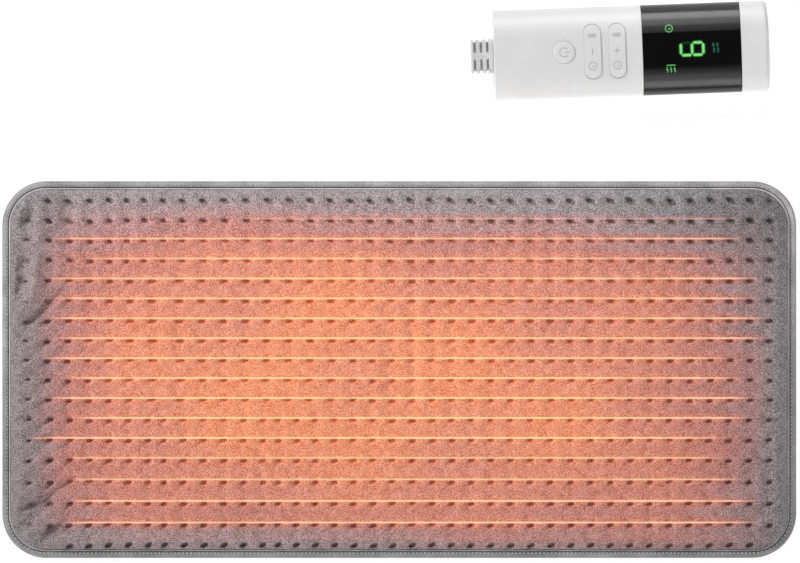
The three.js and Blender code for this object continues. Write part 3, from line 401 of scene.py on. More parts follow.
half_length = PAD_LENGTH / 2 - COVER_INSET
half_depth = PAD_DEPTH / 2 - COVER_INSET
stations_x = np.linspace(-half_length, half_length, round(2 * half_length / COVER_STEP))
steps_y = np.arange(-0.5, 17.5, 1 / PER_ROW)
steps_y = steps_y - ROW_CROWDING * np.sin(2 * math.pi * steps_y) / (2 * math.pi)
stations_y = np.interp(steps_y, ROW_AT, ROW_HEIGHT)
stations_y = stations_y[np.abs(stations_y) < half_depth - 0.5]
stations_y = np.concatenate([[half_depth], stations_y, [-half_depth]])[::-1]

bm = bmesh.new()
bmesh.ops.create_grid(bm, x_segments=len(stations_x) - 1, y_segments=len(stations_y) - 1, size=1)
flat = np.array([v.co for v in bm.verts])
cover_x = np.interp(flat[:, 0], np.linspace(-1, 1, len(stations_x)), stations_x)
cover_y = np.interp(flat[:, 1], np.linspace(-1, 1, len(stations_y)), stations_y)
cover_x, cover_y = round_corners(cover_x, cover_y, COVER_INSET)
slack = slack_cloth()
cover_z = cover_height(cover_x, cover_y) + between_stations(*slack, cover_x, cover_y)
for vert, place in zip(bm.verts, zip(cover_x, cover_y, cover_z)):
    vert.co = place


def draw_in(bm, edges, inset, z):
    """Extrudes a rim of the cover to another inset of the pad's outline and height."""
    made = bmesh.ops.extrude_edge_only(bm, edges=edges)["geom"]
    for vert in [item for item in made if isinstance(item, bmesh.types.BMVert)]:
        core = Vector((
            max(-1, min(1, vert.co.x / SIDE_X)) * SIDE_X,
            max(-1, min(1, vert.co.y / SIDE_Y)) * SIDE_Y,
        ))
        arm = vert.co.xy - core
        vert.co.xy = core + arm.normalized() * (PAD_CORNER - inset)
        vert.co.z = z
    return [item for item in made if isinstance(item, bmesh.types.BMEdge) and item.is_boundary]


rim = [edge for edge in bm.edges if edge.is_boundary]
for inset, height in COVER_UNDERSIDE:
    rim = draw_in(bm, rim, inset, height)
bmesh.ops.contextual_create(bm, geom=rim)
top_cover = mesh_piece("plush_cover", bm, sharp=80)
cloth_notes(top_cover)


def paint(code):
    """A colour written as sRGB hex, as the shader's linear values."""
    parts = [int(code[i : i + 2], 16) / 255 for i in (1, 3, 5)]
    return (*[c / 12.92 if c <= 0.04045 else ((c + 0.055) / 1.055) ** 2.4 for c in parts], 1)


def add_node(tree, kind, inputs, **settings):
    """Adds one shader node; an input given a socket is linked to it, any other value is set."""
    node = tree.nodes.new("ShaderNode" + kind)
    for name, value in settings.items():
        setattr(node, name, value)
    for name, value in inputs.items():
        if isinstance(value, bpy.types.NodeSocket):
            tree.links.new(value, node.inputs[name])
        else:
            node.inputs[name].default_value = value
    return node


def new_material(name, sockets):
    """An empty material with its surface shader; returns it with its tree, shader and object place."""
    material = bpy.data.materials.new(name)
    material.use_nodes = True
    tree = material.node_tree
    shader = tree.nodes["Principled BSDF"]
    for socket, value in sockets.items():
        shader.inputs[socket].default_value = value
    return material, tree, shader, add_node(tree, "TexCoord", {}).outputs["Object"]


def set_ramp(node, stops):
    """Gives a colour ramp its stops of place and colour."""
    ramp = node.color_ramp
    while len(ramp.elements) < len(stops):
        ramp.elements.new(0.5)
    for element, (place, colour) in zip(ramp.elements, stops):
        element.position = place
        element.color = paint(colour)


def heather_plush(name, heated):
    """Short heather pile: a grain of light and dark fibre tips, darker where the dots are pressed, partly for
    the matting of the pile and partly as painted shade of the dents, with painted light and shade across
    the pad and a soft sheen at glancing angles. Heated, it takes on a painted warm glow and glowing lines
    over the wires, and keeps a painted red glow where it is shaded."""
    material, tree, shader, place = new_material(
        name, {"Roughness": 0.95, "Sheen Weight": 0.12, "Specular IOR Level": 0.1}
    )
    # Single fibre tips are too fine to show, so the grain is drawn at 0.7 mm, some tips together.
    tips = add_node(
        tree, "TexNoise", {"Vector": place, "Scale": 1 / (0.7 * MM), "Detail": 1.0, "Roughness": 0.6}
    )
    tufts = add_node(tree, "TexNoise", {"Vector": place, "Scale": 1 / (5 * MM), "Detail": 3.0})
    mixed = add_node(
        tree, "Math", {0: tufts.outputs[0], 1: 0.2, 2: tips.outputs[0]}, operation="MULTIPLY_ADD"
    )
    # heat: how strongly the warm glow is painted at each point.
    heat = add_node(tree, "Attribute", {}, attribute_name="painted_warm_glow" if heated else "unheated").outputs["Fac"]
    low = add_node(tree, "MapRange", {"Value": heat, "To Min": 0.38, "To Max": 0.55})
    high = add_node(tree, "MapRange", {"Value": heat, "To Min": 1.75, "To Max": 1.5})
    grain = add_node(
        tree, "MapRange",
        {"Value": mixed.outputs[0], "From Min": 0.46, "From Max": 0.74,
         "To Min": low.outputs[0], "To Max": high.outputs[0]},
    )
    # Painted light and shade across the pad, made linear.
    painted_light_share = add_node(tree, "Attribute", {}, attribute_name="painted_light_share").outputs["Fac"]
    painted_light_share = add_node(tree, "Math", {0: painted_light_share, 1: 2.2}, operation="POWER")

    grid = add_node(tree, "Attribute", {}, attribute_name="dot_grid").outputs["Vector"]
    shifted = add_node(tree, "VectorMath", {0: grid, 1: (0.5, 0.5, 0.5)}, operation="ADD")
    within = add_node(tree, "VectorMath", {0: shifted.outputs[0]}, operation="FRACTION")
    centred = add_node(tree, "VectorMath", {0: within.outputs[0], 1: (0.5, 0.5, 0.5)}, operation="SUBTRACT")
    sized = add_node(
        tree, "VectorMath", {0: centred.outputs[0], 1: (DOT_PITCH, -DOT_PITCH, DOT_PITCH)},
        operation="MULTIPLY",
    )
    parts = add_node(tree, "SeparateXYZ", {0: sized.outputs[0]})
    slant = add_node(tree, "Attribute", {}, attribute_name="slant").outputs["Fac"]
    tilt = add_node(
        tree, "Math", {0: parts.outputs["X"], 1: slant, 2: parts.outputs["Y"]}, operation="MULTIPLY_ADD"
    )
    wide = add_node(tree, "Math", {0: parts.outputs["X"], 1: DOT_HALF[0]}, operation="DIVIDE")
    tall = add_node(tree, "Math", {0: tilt.outputs[0], 1: DOT_HALF[1]}, operation="DIVIDE")
    oval = add_node(tree, "CombineXYZ", {0: wide.outputs[0], 1: tall.outputs[0]})
    share = add_node(tree, "VectorMath", {0: oval.outputs[0]}, operation="LENGTH")
    swell = add_node(tree, "Attribute", {}, attribute_name="swell").outputs["Fac"]
    share = add_node(tree, "Math", {0: share.outputs["Value"], 1: swell}, operation="DIVIDE")
    matted_and_shaded = add_node(
        tree, "MapRange", {"Value": share.outputs[0], "From Min": 1.08, "From Max": 0.8},
        interpolation_type="SMOOTHSTEP",
    )
    pressed = add_node(tree, "Attribute", {}, attribute_name="pressed").outputs["Fac"]
    dot = add_node(tree, "Math", {0: matted_and_shaded.outputs[0], 1: pressed}, operation="MULTIPLY")
    near = add_node(tree, "Math", {0: parts.outputs["Z"]}, operation="ABSOLUTE")
    glow = add_node(tree, "Attribute", {}, attribute_name="glow" if heated else "unheated").outputs["Fac"]
    # The ramp's warm colours are painted glow, spread round the wire runs and over the warm field; its grey
    # end is the cloth's own colour.
    halo = add_node(
        tree, "MapRange",
        {"Value": near.outputs[0], "From Min": 5.5, "From Max": 0.5, "To Min": -0.2, "To Max": 0.28},
    )
    cool = add_node(tree, "Math", {0: heat, 1: -1.05, 2: 1.15}, operation="MULTIPLY_ADD", use_clamp=True)
    spread = add_node(tree, "Math", {0: glow, 1: cool.outputs[0]}, operation="MULTIPLY")
    warm = add_node(
        tree, "Math", {0: halo.outputs[0], 1: spread.outputs[0], 2: heat},
        operation="MULTIPLY_ADD", use_clamp=True,
    )
    warm = add_node(tree, "ValToRGB", {"Fac": warm.outputs[0]})
    set_ramp(warm, [
        (0.0, "#959092"), (0.2, "#a69091"), (0.4, "#b88a85"),
        (0.6, "#c98476"), (0.8, "#d98a72"), (1.0, "#e7906b"),
    ])
    # In the dots the colour is darkened, partly for the matting of the pile and partly as painted shade of
    # the dents, less where the warm glow is painted.
    dark = add_node(tree, "MapRange", {"Value": heat, "To Min": 0.52, "To Max": 0.8})
    dark = add_node(
        tree, "MapRange", {"Value": dot.outputs[0], "To Min": 1.0, "To Max": dark.outputs[0]}, clamp=False
    )
    depth = add_node(tree, "Math", {0: grain.outputs[0], 1: dark.outputs[0]}, operation="MULTIPLY")
    # Painted red glow in the shade: where the colour is darker, red falls off less than green and blue.
    glow_kept_in_shade = add_node(tree, "CombineColor", {})
    for channel, strength in {"Red": 0.45, "Green": 1.1, "Blue": 1.55}.items():
        strength = add_node(tree, "MapRange", {"Value": heat, "To Min": 1.0, "To Max": strength})
        tinted = add_node(tree, "Math", {0: depth.outputs[0], 1: strength.outputs[0]}, operation="POWER")
        tree.links.new(tinted.outputs[0], glow_kept_in_shade.inputs[channel])
    colour = add_node(
        tree, "Mix", {0: 1.0, 6: warm.outputs[0], 7: painted_light_share.outputs[0]}, data_type="RGBA", blend_type="MULTIPLY"
    )
    colour = add_node(
        tree, "Mix", {0: 1.0, 6: colour.outputs[2], 7: glow_kept_in_shade.outputs[0]},
        data_type="RGBA", blend_type="MULTIPLY",
    ).outputs[2]
    # Painted glow: the lines over the wire runs and a faint glow over the warm field are light sent out by
    # the pile, which is no lamp, and under the lines its colour is taken down.
    if heated:
        core = add_node(
            tree, "MapRange", {"Value": near.outputs[0], "From Min": 0.88, "From Max": 0.15},
            interpolation_type="SMOOTHSTEP",
        )
        faint = add_node(tree, "TexNoise", {"Vector": place, "Scale": 1 / (32 * MM), "Detail": 2.0})
        faint = add_node(
            tree, "MapRange",
            {"Value": faint.outputs[0], "From Min": 0.36, "From Max": 0.5, "To Min": 0.72, "To Max": 1.0},
        )
        glow = add_node(tree, "Math", {0: glow, 1: faint.outputs[0]}, operation="MULTIPLY")
        lit = add_node(
            tree, "Math", {0: core.outputs[0], 1: glow.outputs[0]}, operation="MULTIPLY", use_clamp=True
        )
        flame = add_node(tree, "ValToRGB", {"Fac": heat})
        set_ramp(flame, [(0.15, "#f6bfae"), (0.5, "#ffcdb0"), (0.8, "#ffd2a6"), (1.0, "#ffda9e")])
        warmed = add_node(tree, "Math", {0: heat, 1: 0.2}, operation="MULTIPLY")
        soft = add_node(
            tree, "Mix", {0: 1.0, 6: colour, 7: warmed.outputs[0]}, data_type="RGBA", blend_type="MULTIPLY"
        )
        light = add_node(
            tree, "Mix", {0: lit.outputs[0], 6: soft.outputs[2], 7: flame.outputs[0]}, data_type="RGBA"
        )
        tree.links.new(light.outputs[2], shader.inputs["Emission Color"])
        shader.inputs["Emission Strength"].default_value = 1.0
        hidden = add_node(tree, "MapRange", {"Value": lit.outputs[0], "To Min": 1.0, "To Max": 0.15})
        colour = add_node(
            tree, "Mix", {0: 1.0, 6: colour, 7: hidden.outputs[0]}, data_type="RGBA", blend_type="MULTIPLY"
        ).outputs[2]
    tree.links.new(colour, shader.inputs["Base Color"])
    pile = add_node(tree, "Bump", {"Height": mixed.outputs[0], "Strength": 0.3, "Distance": 0.6 * MM})
    tree.links.new(pile.outputs[0], shader.inputs["Normal"])
    return material


top_cover.data.materials.append(heather_plush("heather plush, warmed", heated=True))
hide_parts("top_cover")
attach(top_cover, "root")

# Edge binding: a woven polyester tape folded round the edges of both covers and sewn through.
# Its fold is smooth and rounded, and its upper edge stands on the plush beside a furrow painted dark as
# shade.
TAPE_PROFILE = [
    (5.7, 0.35), (4.0, 0.1), (2.2, 0.1), (1.1, 0.45), (0.35, 1.15), (0.05, 2.1), (0.2, 3.1), (0.75, 3.9),
    (1.4, 4.3), (2.1, 4.4), (2.8, 4.25), (3.4, 4.1), (3.8, 4.0), (4.1, 3.6), (4.3, 3.5), (4.5, 3.9),
    (4.75, 4.45), (5.1, 4.7), (5.45, 4.55), (5.65, 4.1), (5.6, 3.45), (4.9, 3.2), (3.5, 3.1), (1.6, 3.1),
    (1.1, 2.2), (1.6, 1.3), (4.0, 1.1), (5.6, 1.1), (5.9, 0.7),
]
TAPE_STEPS = 110
CORNER_TURNS = 20
TAPE_BASE = 0.1
TAPE_RIPPLE = 0.035
RIB_PITCH = 1.2


def swept_round(bm, profile):
    """Sweeps a closed profile of (inset, height) once round the pad's outline."""
    loop = [bm.verts.new((-SIDE_X, PAD_DEPTH / 2 - inset, height)) for inset, height in profile]
    edges = [bm.edges.new((loop[i - 1], loop[i])) for i in range(len(loop))]
    moves = [
        ((1, 0), SIDE_X, (SIDE_X, SIDE_Y)), ((0, -1), SIDE_Y, (SIDE_X, -SIDE_Y)),
        ((-1, 0), SIDE_X, (-SIDE_X, -SIDE_Y)), ((0, 1), SIDE_Y, (-SIDE_X, SIDE_Y)),
    ]
    last = loop + edges
    for (dx, dy), side, centre in moves:
        steps = max(4, round(TAPE_STEPS * side / SIDE_X))
        step = 2 * side / steps
        last = bmesh.ops.spin(
            bm, geom=last, angle=0, steps=steps, dvec=(dx * step, dy * step, 0)
        )["geom_last"]
        last = bmesh.ops.spin(
            bm, geom=last, angle=-math.pi / 2, steps=CORNER_TURNS, axis=(0, 0, 1), cent=(*centre, 0)
        )["geom_last"]
    bmesh.ops.remove_doubles(bm, verts=bm.verts, dist=0.01)


def way_round(x, y):
    """The distance run clockwise round the pad's outline, from the left end of its back side."""
    arc = PAD_CORNER * math.pi / 2
    over_x = np.maximum(np.abs(x) - SIDE_X, 0)
    over_y = np.maximum(np.abs(y) - SIDE_Y, 0)
    turn = np.arctan2(over_x, np.maximum(over_y, 1e-6)) * PAD_CORNER
    back = np.where(x > SIDE_X, 2 * SIDE_X + turn, x + SIDE_X)
    right = 2 * SIDE_X + arc + np.where(y < -SIDE_Y, 2 * SIDE_Y + arc - turn, SIDE_Y - y)
    front = 2 * SIDE_X + 2 * SIDE_Y + 2 * arc + np.where(x < -SIDE_X, 2 * SIDE_X + turn, SIDE_X - x)
    left = 4 * SIDE_X + 2 * SIDE_Y + 3 * arc + np.where(y > SIDE_Y, 2 * SIDE_Y + arc - turn, SIDE_Y + y)
    on_back = (over_y > 0) & (y > 0) & (x > -SIDE_X)
    on_front = (over_y > 0) & (y < 0) & (x < SIDE_X)
    return np.where(on_back, back, np.where(on_front, front, np.where(x > 0, right, left)))


bm = bmesh.new()
swept_round(bm, TAPE_PROFILE)
for vert in bm.verts:
    run = float(way_round(np.float64(vert.co.x), np.float64(vert.co.y)))
    vert.co.z *= 1 + TAPE_RIPPLE * math.sin(run / 7.1 + 2 * math.sin(run / 23))
    if vert.co.z < 2 * TAPE_BASE:
        vert.co.z = TAPE_BASE
binding = mesh_piece("edge_binding_tape", bm, sharp=60)


def note_way_round(piece):
    """Writes on the piece's points how far round and how far in they lie, in millimetres."""
    x, y, z = points_of(piece)
    notes = np.stack([way_round(x, y), from_edge(x, y), z], axis=1)
    piece.data.attributes.new("tape_run", "FLOAT_VECTOR", "POINT").data.foreach_set("vector", notes.ravel())


note_way_round(binding)
# Woven tape: close ribs across its width, drawn at 1.2 mm where real ones are half that, and a dull
# polyester lustre. The furrow where the stitches pull it down is painted dark as shade, the lip beside it
# is painted pale as a highlight and the outer fold darker as shade, and its back side is painted lighter
# and its front darker, as light and shade.
tape, tree, shader, place = new_material("woven binding tape", {"Roughness": 0.7, "Sheen Weight": 0.3})
run = add_node(tree, "Attribute", {}, attribute_name="tape_run").outputs["Vector"]
apart = add_node(tree, "SeparateXYZ", {0: run})
ribs = add_node(tree, "Math", {0: apart.outputs["X"], 1: 2 * math.pi / RIB_PITCH}, operation="MULTIPLY")
ribs = add_node(tree, "Math", {0: ribs.outputs[0]}, operation="SINE")
yarn = add_node(tree, "TexNoise", {"Vector": place, "Scale": 1 / (0.9 * MM), "Detail": 2.0})
soil = add_node(tree, "TexNoise", {"Vector": place, "Scale": 1 / (18 * MM), "Detail": 3.0})
blend = add_node(tree, "Math", {0: yarn.outputs[0], 1: soil.outputs[0]}, operation="ADD")
shade = add_node(tree, "MapRange", {"Value": blend.outputs[0], "From Min": 0.75, "From Max": 1.25})
tone = add_node(tree, "ValToRGB", {"Fac": shade.outputs[0]})
set_ramp(tone, [(0.0, "#b4b1b2"), (0.5, "#d4d1d2"), (1.0, "#f0edee")])
# Painted shade and highlight across the tape: darker at the outer fold and in the stitch furrow, paler on the
# lip beside it.
inward = add_node(tree, "Math", {0: apart.outputs["Y"], 1: 10.0}, operation="DIVIDE")
painted_shade_and_lip_highlight = add_node(tree, "ValToRGB", {"Fac": inward.outputs[0]})
set_ramp(painted_shade_and_lip_highlight, [
    (0.05, "#9a9a9a"), (0.15, "#c0c0c0"), (0.26, "#c4c4c4"), (0.3, "#bababa"), (0.38, "#bababa"),
    (0.41, "#565656"), (0.44, "#565656"), (0.47, "#dedede"), (0.56, "#dedede"),
])
seen = add_node(
    tree, "Mix", {0: 1.0, 6: tone.outputs[0], 7: painted_shade_and_lip_highlight.outputs[0]}, data_type="RGBA", blend_type="MULTIPLY"
)
# Painted light and shade: the back side of the tape lighter, the front darker.
across = add_node(tree, "SeparateXYZ", {0: place})
painted_side_light = add_node(
    tree, "MapRange",
    {"Value": across.outputs["Y"], "From Min": -0.12, "From Max": 0.12, "To Min": 0.68, "To Max": 1.25},
)
seen = add_node(
    tree, "Mix", {0: 1.0, 6: seen.outputs[2], 7: painted_side_light.outputs[0]},
    data_type="RGBA", blend_type="MULTIPLY",
)
tree.links.new(seen.outputs[2], shader.inputs["Base Color"])
relief = add_node(tree, "Math", {0: ribs.outputs[0], 1: 0.4, 2: yarn.outputs[0]}, operation="MULTIPLY_ADD")
weave = add_node(tree, "Bump", {"Height": relief.outputs[0], "Strength": 0.35, "Distance": 0.25 * MM})
tree.links.new(weave.outputs[0], shader.inputs["Normal"])
binding.data.materials.append(tape)
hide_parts("edge_binding")
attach(binding, "root")

# Binding stitches: one row of lockstitch in pale grey polyester thread, sewn through the tape and
# both covers 3.4 mm from the edge. Each stitch is a short twisted length beside a furrow painted dark as
# shade.
STITCH_PITCH = 2.6
STITCH_INSET = 3.4
STITCH_HEIGHT = 4.25
STITCH_LEAN = 7
STITCH_HALF = (0.78, 0.48, 0.35)

bm = bmesh.new()
arc = (PAD_CORNER - STITCH_INSET) * math.pi / 2
stretches = []
for heading in (0, -90, 180, 90):
    side, beyond = (SIDE_X, SIDE_Y) if heading in (0, 180) else (SIDE_Y, SIDE_X)
    way = Vector((math.cos(math.radians(heading)), math.sin(math.radians(heading))))
    out = Vector((-way.y, way.x))
    middle = out * (beyond + PAD_CORNER - STITCH_INSET)
    count = round(2 * side / STITCH_PITCH)
    for number in range(count):
        spot = middle + way * (-side + (number + 0.5) * 2 * side / count)
        stretches.append((spot, heading))
    centre = way * side + out * beyond
    count = round(arc / STITCH_PITCH)
    for number in range(count):
        bend = 90 * (number + 0.5) / count
        arm = Matrix.Rotation(-math.radians(bend), 2) @ out
        stretches.append((centre + arm * (PAD_CORNER - STITCH_INSET), heading - bend))
for spot, heading in stretches:
    size = Matrix.Diagonal((*STITCH_HALF, 1))
    turn = Matrix.Rotation(math.radians(heading + STITCH_LEAN), 4, "Z")
    bmesh.ops.create_uvsphere(
        bm, u_segments=6, v_segments=4, radius=1,
        matrix=Matrix.Translation((*spot, STITCH_HEIGHT)) @ turn @ size,
    )
stitches = mesh_piece("binding_stitches", bm, sharp=80)


def clouded(name, sockets, grain_mm, detail, low, high, **more):
    """A material in two close tones that drift over its grain; returns it with its tree, shader, place and
    the pattern of the drift."""
    material, tree, shader, place = new_material(name, sockets)
    drift = add_node(
        tree, "TexNoise", {"Vector": place, "Scale": 1 / (grain_mm * MM), "Detail": detail, **more}
    )
    tone = add_node(tree, "ValToRGB", {"Fac": drift.outputs[0]})
    set_ramp(tone, [(0.3, low), (0.7, high)])
    tree.links.new(tone.outputs[0], shader.inputs["Base Color"])
    return material, tree, shader, place, drift


# Spun polyester thread: pale grey, flecked with darker filaments.
thread = clouded(
    "polyester thread", {"Roughness": 0.6, "Sheen Weight": 0.2}, 0.7, 2.0, "#a39ea0", "#cac6c8"
)[0]
stitches.data.materials.append(thread)
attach(stitches, "root")

# Back cover: brushed polyester cloth, flat where the pad lies on the bed and turned up at its rim
# into the binding. The dots are pressed through it too; they show only in its colour, darker partly for
# the matting of the pile and partly as painted shade.
BACK_T = 1.1
BACK_BASE = 0.05
BACK_RIM = 1.3
BACK_TURN = 8.0
BACK_CELLS = (190, 90)


def drawn_out(bm, vec):
    """Extrudes all faces of a sheet along a vector; returns the points of its far side."""
    made = bmesh.ops.extrude_face_region(bm, geom=bm.faces[:])["geom"]
    far = [item for item in made if isinstance(item, bmesh.types.BMVert)]
    bmesh.ops.translate(bm, vec=vec, verts=far)
    return far


bm = bmesh.new()
bmesh.ops.create_grid(bm, x_segments=BACK_CELLS[0], y_segments=BACK_CELLS[1], size=1)
for vert in bm.verts:
    x, y = round_corners(
        np.float64(vert.co.x * half_length), np.float64(vert.co.y * half_depth), COVER_INSET
    )
    turned_up = float(rise(from_edge(x, y), COVER_INSET + BACK_TURN, COVER_INSET))
    vert.co = (x, y, BACK_BASE + BACK_RIM * turned_up)
drawn_out(bm, (0, 0, BACK_T))
back_cover = mesh_piece("back_cloth", bm, sharp=60)
cloth_notes(back_cover)
back_cover.data.materials.append(heather_plush("brushed back cloth", heated=False))
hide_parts("bottom_cover")
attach(back_cover, "root")

# Felt layers: needled polyester felt under and over the wires, with the thin carrier cloth between
# that the wire is stitched to. They are cut to one outline and held by the pressed dots.
FELT_INSET = 20.0
FELT_CELLS = (96, 42)
FELT_LUMP = 0.08
FELT_LAYERS = {"lower_batting": (1.25, 3.1), "wire_carrier": (3.22, 3.7), "upper_batting": (6.15, 7.35)}

# Needled felt: matted off-white fibres with a cloudy, slightly uneven surface.
felt, tree, shader, _, matting = clouded(
    "needled felt", {"Roughness": 1.0, "Sheen Weight": 0.2}, 6, 6.0, "#cbc7bd", "#e4e1d9", Distortion=1.0
)
fuzz = add_node(tree, "Bump", {"Height": matting.outputs[0], "Strength": 0.5, "Distance": 0.4 * MM})
tree.links.new(fuzz.outputs[0], shader.inputs["Normal"])

for layer, (low, high) in FELT_LAYERS.items():
    bm = bmesh.new()
    bmesh.ops.create_grid(bm, x_segments=FELT_CELLS[0], y_segments=FELT_CELLS[1], size=1)
    for vert in bm.verts:
        x, y = round_corners(
            np.float64(vert.co.x * (PAD_LENGTH / 2 - FELT_INSET)),
            np.float64(vert.co.y * (PAD_DEPTH / 2 - FELT_INSET)),
            FELT_INSET,
        )
        vert.co = (x, y, low)
    for vert in drawn_out(bm, (0, 0, high - low)):
        vert.co.z -= FELT_LUMP * (high - low) * (1 + math.sin(vert.co.x * 1.9) * math.cos(vert.co.y * 2.3))
    piece = mesh_piece(layer + "_felt", bm, sharp=50)
    piece.data.materials.append(felt)
    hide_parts(layer)
    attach(piece, "root")

# Heating wire, junction, cut-out and sensor: a silicone-covered resistance wire laid to and fro, its
# ends crimped in a small moulding, with the thermal cut-out and the sensor bedded beside the runs.
# Silicone wire covering: satin orange-tan rubber in two close tones.
covering = clouded("silicone wire covering", {"Roughness": 0.45}, 3, 3.0, "#d98a3e", "#f0a455")[0]


def moulded(name, low, high, roughness, grain_mm=0.8, bump=0.08):
    """A moulded plastic: two close tones in soft clouds and the spark grain of the tool, which is drawn
    coarser than a real one so that it shows."""
    material, tree, shader, place, _ = clouded(name, {"Roughness": roughness}, 30, 3.0, low, high)
    spark = add_node(tree, "TexNoise", {"Vector": place, "Scale": 1 / (grain_mm * MM), "Detail": 2.0})
    worn = add_node(
        tree, "MapRange",
        {"Value": spark.outputs[0], "To Min": roughness - 0.08, "To Max": roughness + 0.08},
    )
    tree.links.new(worn.outputs[0], shader.inputs["Roughness"])
    grain = add_node(tree, "Bump", {"Height": spark.outputs[0], "Strength": bump, "Distance": 0.1 * MM})
    tree.links.new(grain.outputs[0], shader.inputs["Normal"])
    return material


def dress(material, *names):
    """Gives CAD nodes a material."""
    for name in names:
        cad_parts[name].data.materials.clear()
        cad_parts[name].data.materials.append(material)


# Small mouldings: dark grey glass-filled nylon and black satin ABS, both dull and even.
grey_moulding = moulded("grey glass-filled moulding", "#303034", "#3c3c40", 0.5)
black_moulding = moulded("black satin moulding", "#141414", "#1d1d1d", 0.45)
dress(covering, "heating_wire")
dress(grey_moulding, "lead_junction", "temperature_sensor")
dress(black_moulding, "thermal_cutout", "inlet_plate")

# Inlet contacts: three stamped brass discs in the flat black plate on the pad's back, where the lead
# clips on. They are lightly tarnished, so the bright metal is clouded.
brass = clouded("brass", {"Metallic": 1.0, "Roughness": 0.3}, 2, 4.0, "#b38f45", "#d9b868")[0]
dress(brass, "inlet_contact_1", "inlet_contact_2", "inlet_contact_3")

# Controller lower housing: a tray moulded in white ABS with a flat base and rounded flanks. Four screws
# go up through it from recesses in the base, and a notch in its end wall holds the cord's boot.
CONTROLLER_PLACE = Matrix.Translation((151.3, 208.4, 0)) @ Matrix.Rotation(math.radians(2.15), 4, "Z")
BODY_HALF = 29.55
CORD_END = -89.8
CAP_END = 89.8
PARTING = 12.5
BODY_TOP = 30.0
TOP_FLAT = 19.0
FLANK_CREASE = 0.12
BOTTOM_FLAT = 36.0
BAND_START = 7.0
BAND_END = 71.5
SEAM = 0.3
WALL = 1.8
SECTION_STEPS = 144
END_ROUND = 0.8
SCREW_X = (-77.0, 66.0)
SCREW_Y = 15.05
RECESS_R = 3.2
RECESS_TOP = 8.0
# The neck of the cord's boot: width, height and corner, its length in the wall, and its gap in the notch.
NECK = (15.0, 11.5, 3.0)
NECK_LENGTH = 5
NECK_GAP = 0.6


def flank_share(out, up):
    """How high a point of the upper flank lies, 1 at the flat top, which it leaves at a slight crease."""
    return (1 - FLANK_CREASE) * up + FLANK_CREASE * (1 - out)


def crest(v, grow=0.0):
    """The height of the body's top at a distance from its middle line, grown outward by an amount."""
    flank = min(1.0, max(0.0, abs(v) - TOP_FLAT / 2) / (BODY_HALF + grow - TOP_FLAT / 2))
    return PARTING + (BODY_TOP - PARTING + grow) * flank_share(flank, math.sqrt(1 - flank * flank))


def body_bar(start, end, grow=0.0):
    """A closed bar of the body's section: flat top and base with elliptical flanks between them."""
    bm = bmesh.new()
    bmesh.ops.create_circle(bm, cap_ends=True, segments=SECTION_STEPS, radius=1)
    bmesh.ops.rotate(bm, verts=bm.verts, matrix=Matrix.Rotation(math.pi / SECTION_STEPS, 3, "Z"))
    for vert in bm.verts:
        across, up = vert.co.x, vert.co.y
        flat = (TOP_FLAT if up > 0 else BOTTOM_FLAT) / 2
        depth = (BODY_TOP - PARTING if up > 0 else PARTING) + grow
        up = flank_share(abs(across), up) if up > 0 else up
        aside = math.copysign(flat, across) + (BODY_HALF + grow - flat) * across
        vert.co = (start, aside, PARTING + depth * up)
    drawn_out(bm, (end - start, 0, 0))
    bmesh.ops.recalc_face_normals(bm, faces=bm.faces)
    return bm


def end_edges(bm, at):
    """The edges of the bar's end face at this place along it."""
    return [e for e in bm.edges if all(abs(v.co.x - at) < 1e-4 for v in e.verts)]


def open_end(bm, at):
    """Takes away the bar's end face at this place."""
    gone = [f for f in bm.faces if all(abs(v.co.x - at) < 1e-4 for v in f.verts)]
    bmesh.ops.delete(bm, geom=gone, context="FACES_ONLY")


def round_end(bm, at, radius, segments=6):
    """Rounds the edges of the bar's end face at this place."""
    bmesh.ops.bevel(
        bm, geom=end_edges(bm, at), offset=radius, segments=segments, profile=0.5, affect="EDGES",
        material=-1, clamp_overlap=True,
    )


def keep_half(bm, height, upper):
    """Cuts the bar along the parting plane and keeps one half, open along the cut."""
    bmesh.ops.bisect_plane(
        bm, geom=bm.verts[:] + bm.edges[:] + bm.faces[:], plane_co=(0, 0, height), plane_no=(0, 0, 1),
        clear_inner=upper, clear_outer=not upper,
    )


def to_shell(bm, wall):
    """Gives the open bar walls of this thickness, inward."""
    bmesh.ops.recalc_face_normals(bm, faces=bm.faces)
    bmesh.ops.solidify(bm, geom=bm.faces[:], thickness=wall)


def controller_piece(name, bm, sharp=40):
    """Lays a piece drawn in the controller's own place where the controller lies."""
    bmesh.ops.transform(bm, matrix=CONTROLLER_PLACE, verts=bm.verts)
    return mesh_piece(name, bm, sharp)


def settle(piece):
    """Makes what the modifiers give the piece's own mesh."""
    shaped = piece.evaluated_get(bpy.context.evaluated_depsgraph_get())
    mesh = bpy.data.meshes.new_from_object(shaped)
    piece.modifiers.clear()
    piece.data = mesh


def carve(piece, tool, operation="DIFFERENCE"):
    """Cuts a piece with a tool, joins them or keeps what they share, and takes the tool away."""
    modifier = piece.modifiers.new("cut", "BOOLEAN")
    modifier.object = tool
    modifier.operation = operation
    modifier.solver = "EXACT"
    settle(piece)
    bpy.data.objects.remove(tool)


def even_shading(piece, sharp=35):
    """Keeps the edges of a cut piece crisp and its flat faces evenly lit."""
    bm = bmesh.new()
    bm.from_mesh(piece.data)
    soften(bm, sharp)
    bm.to_mesh(piece.data)
    bm.free()
    piece.modifiers.new("even", "WEIGHTED_NORMAL").keep_sharp = True
    settle(piece)


def post(x, y, low, high, radius, steps=32):
    """An upright round tool or peg."""
    bm = bmesh.new()
    bmesh.ops.create_cone(
        bm, cap_ends=True, segments=steps, radius1=radius, radius2=radius, depth=high - low,
        matrix=Matrix.Translation((x, y, (low + high) / 2)),
    )
    return bm


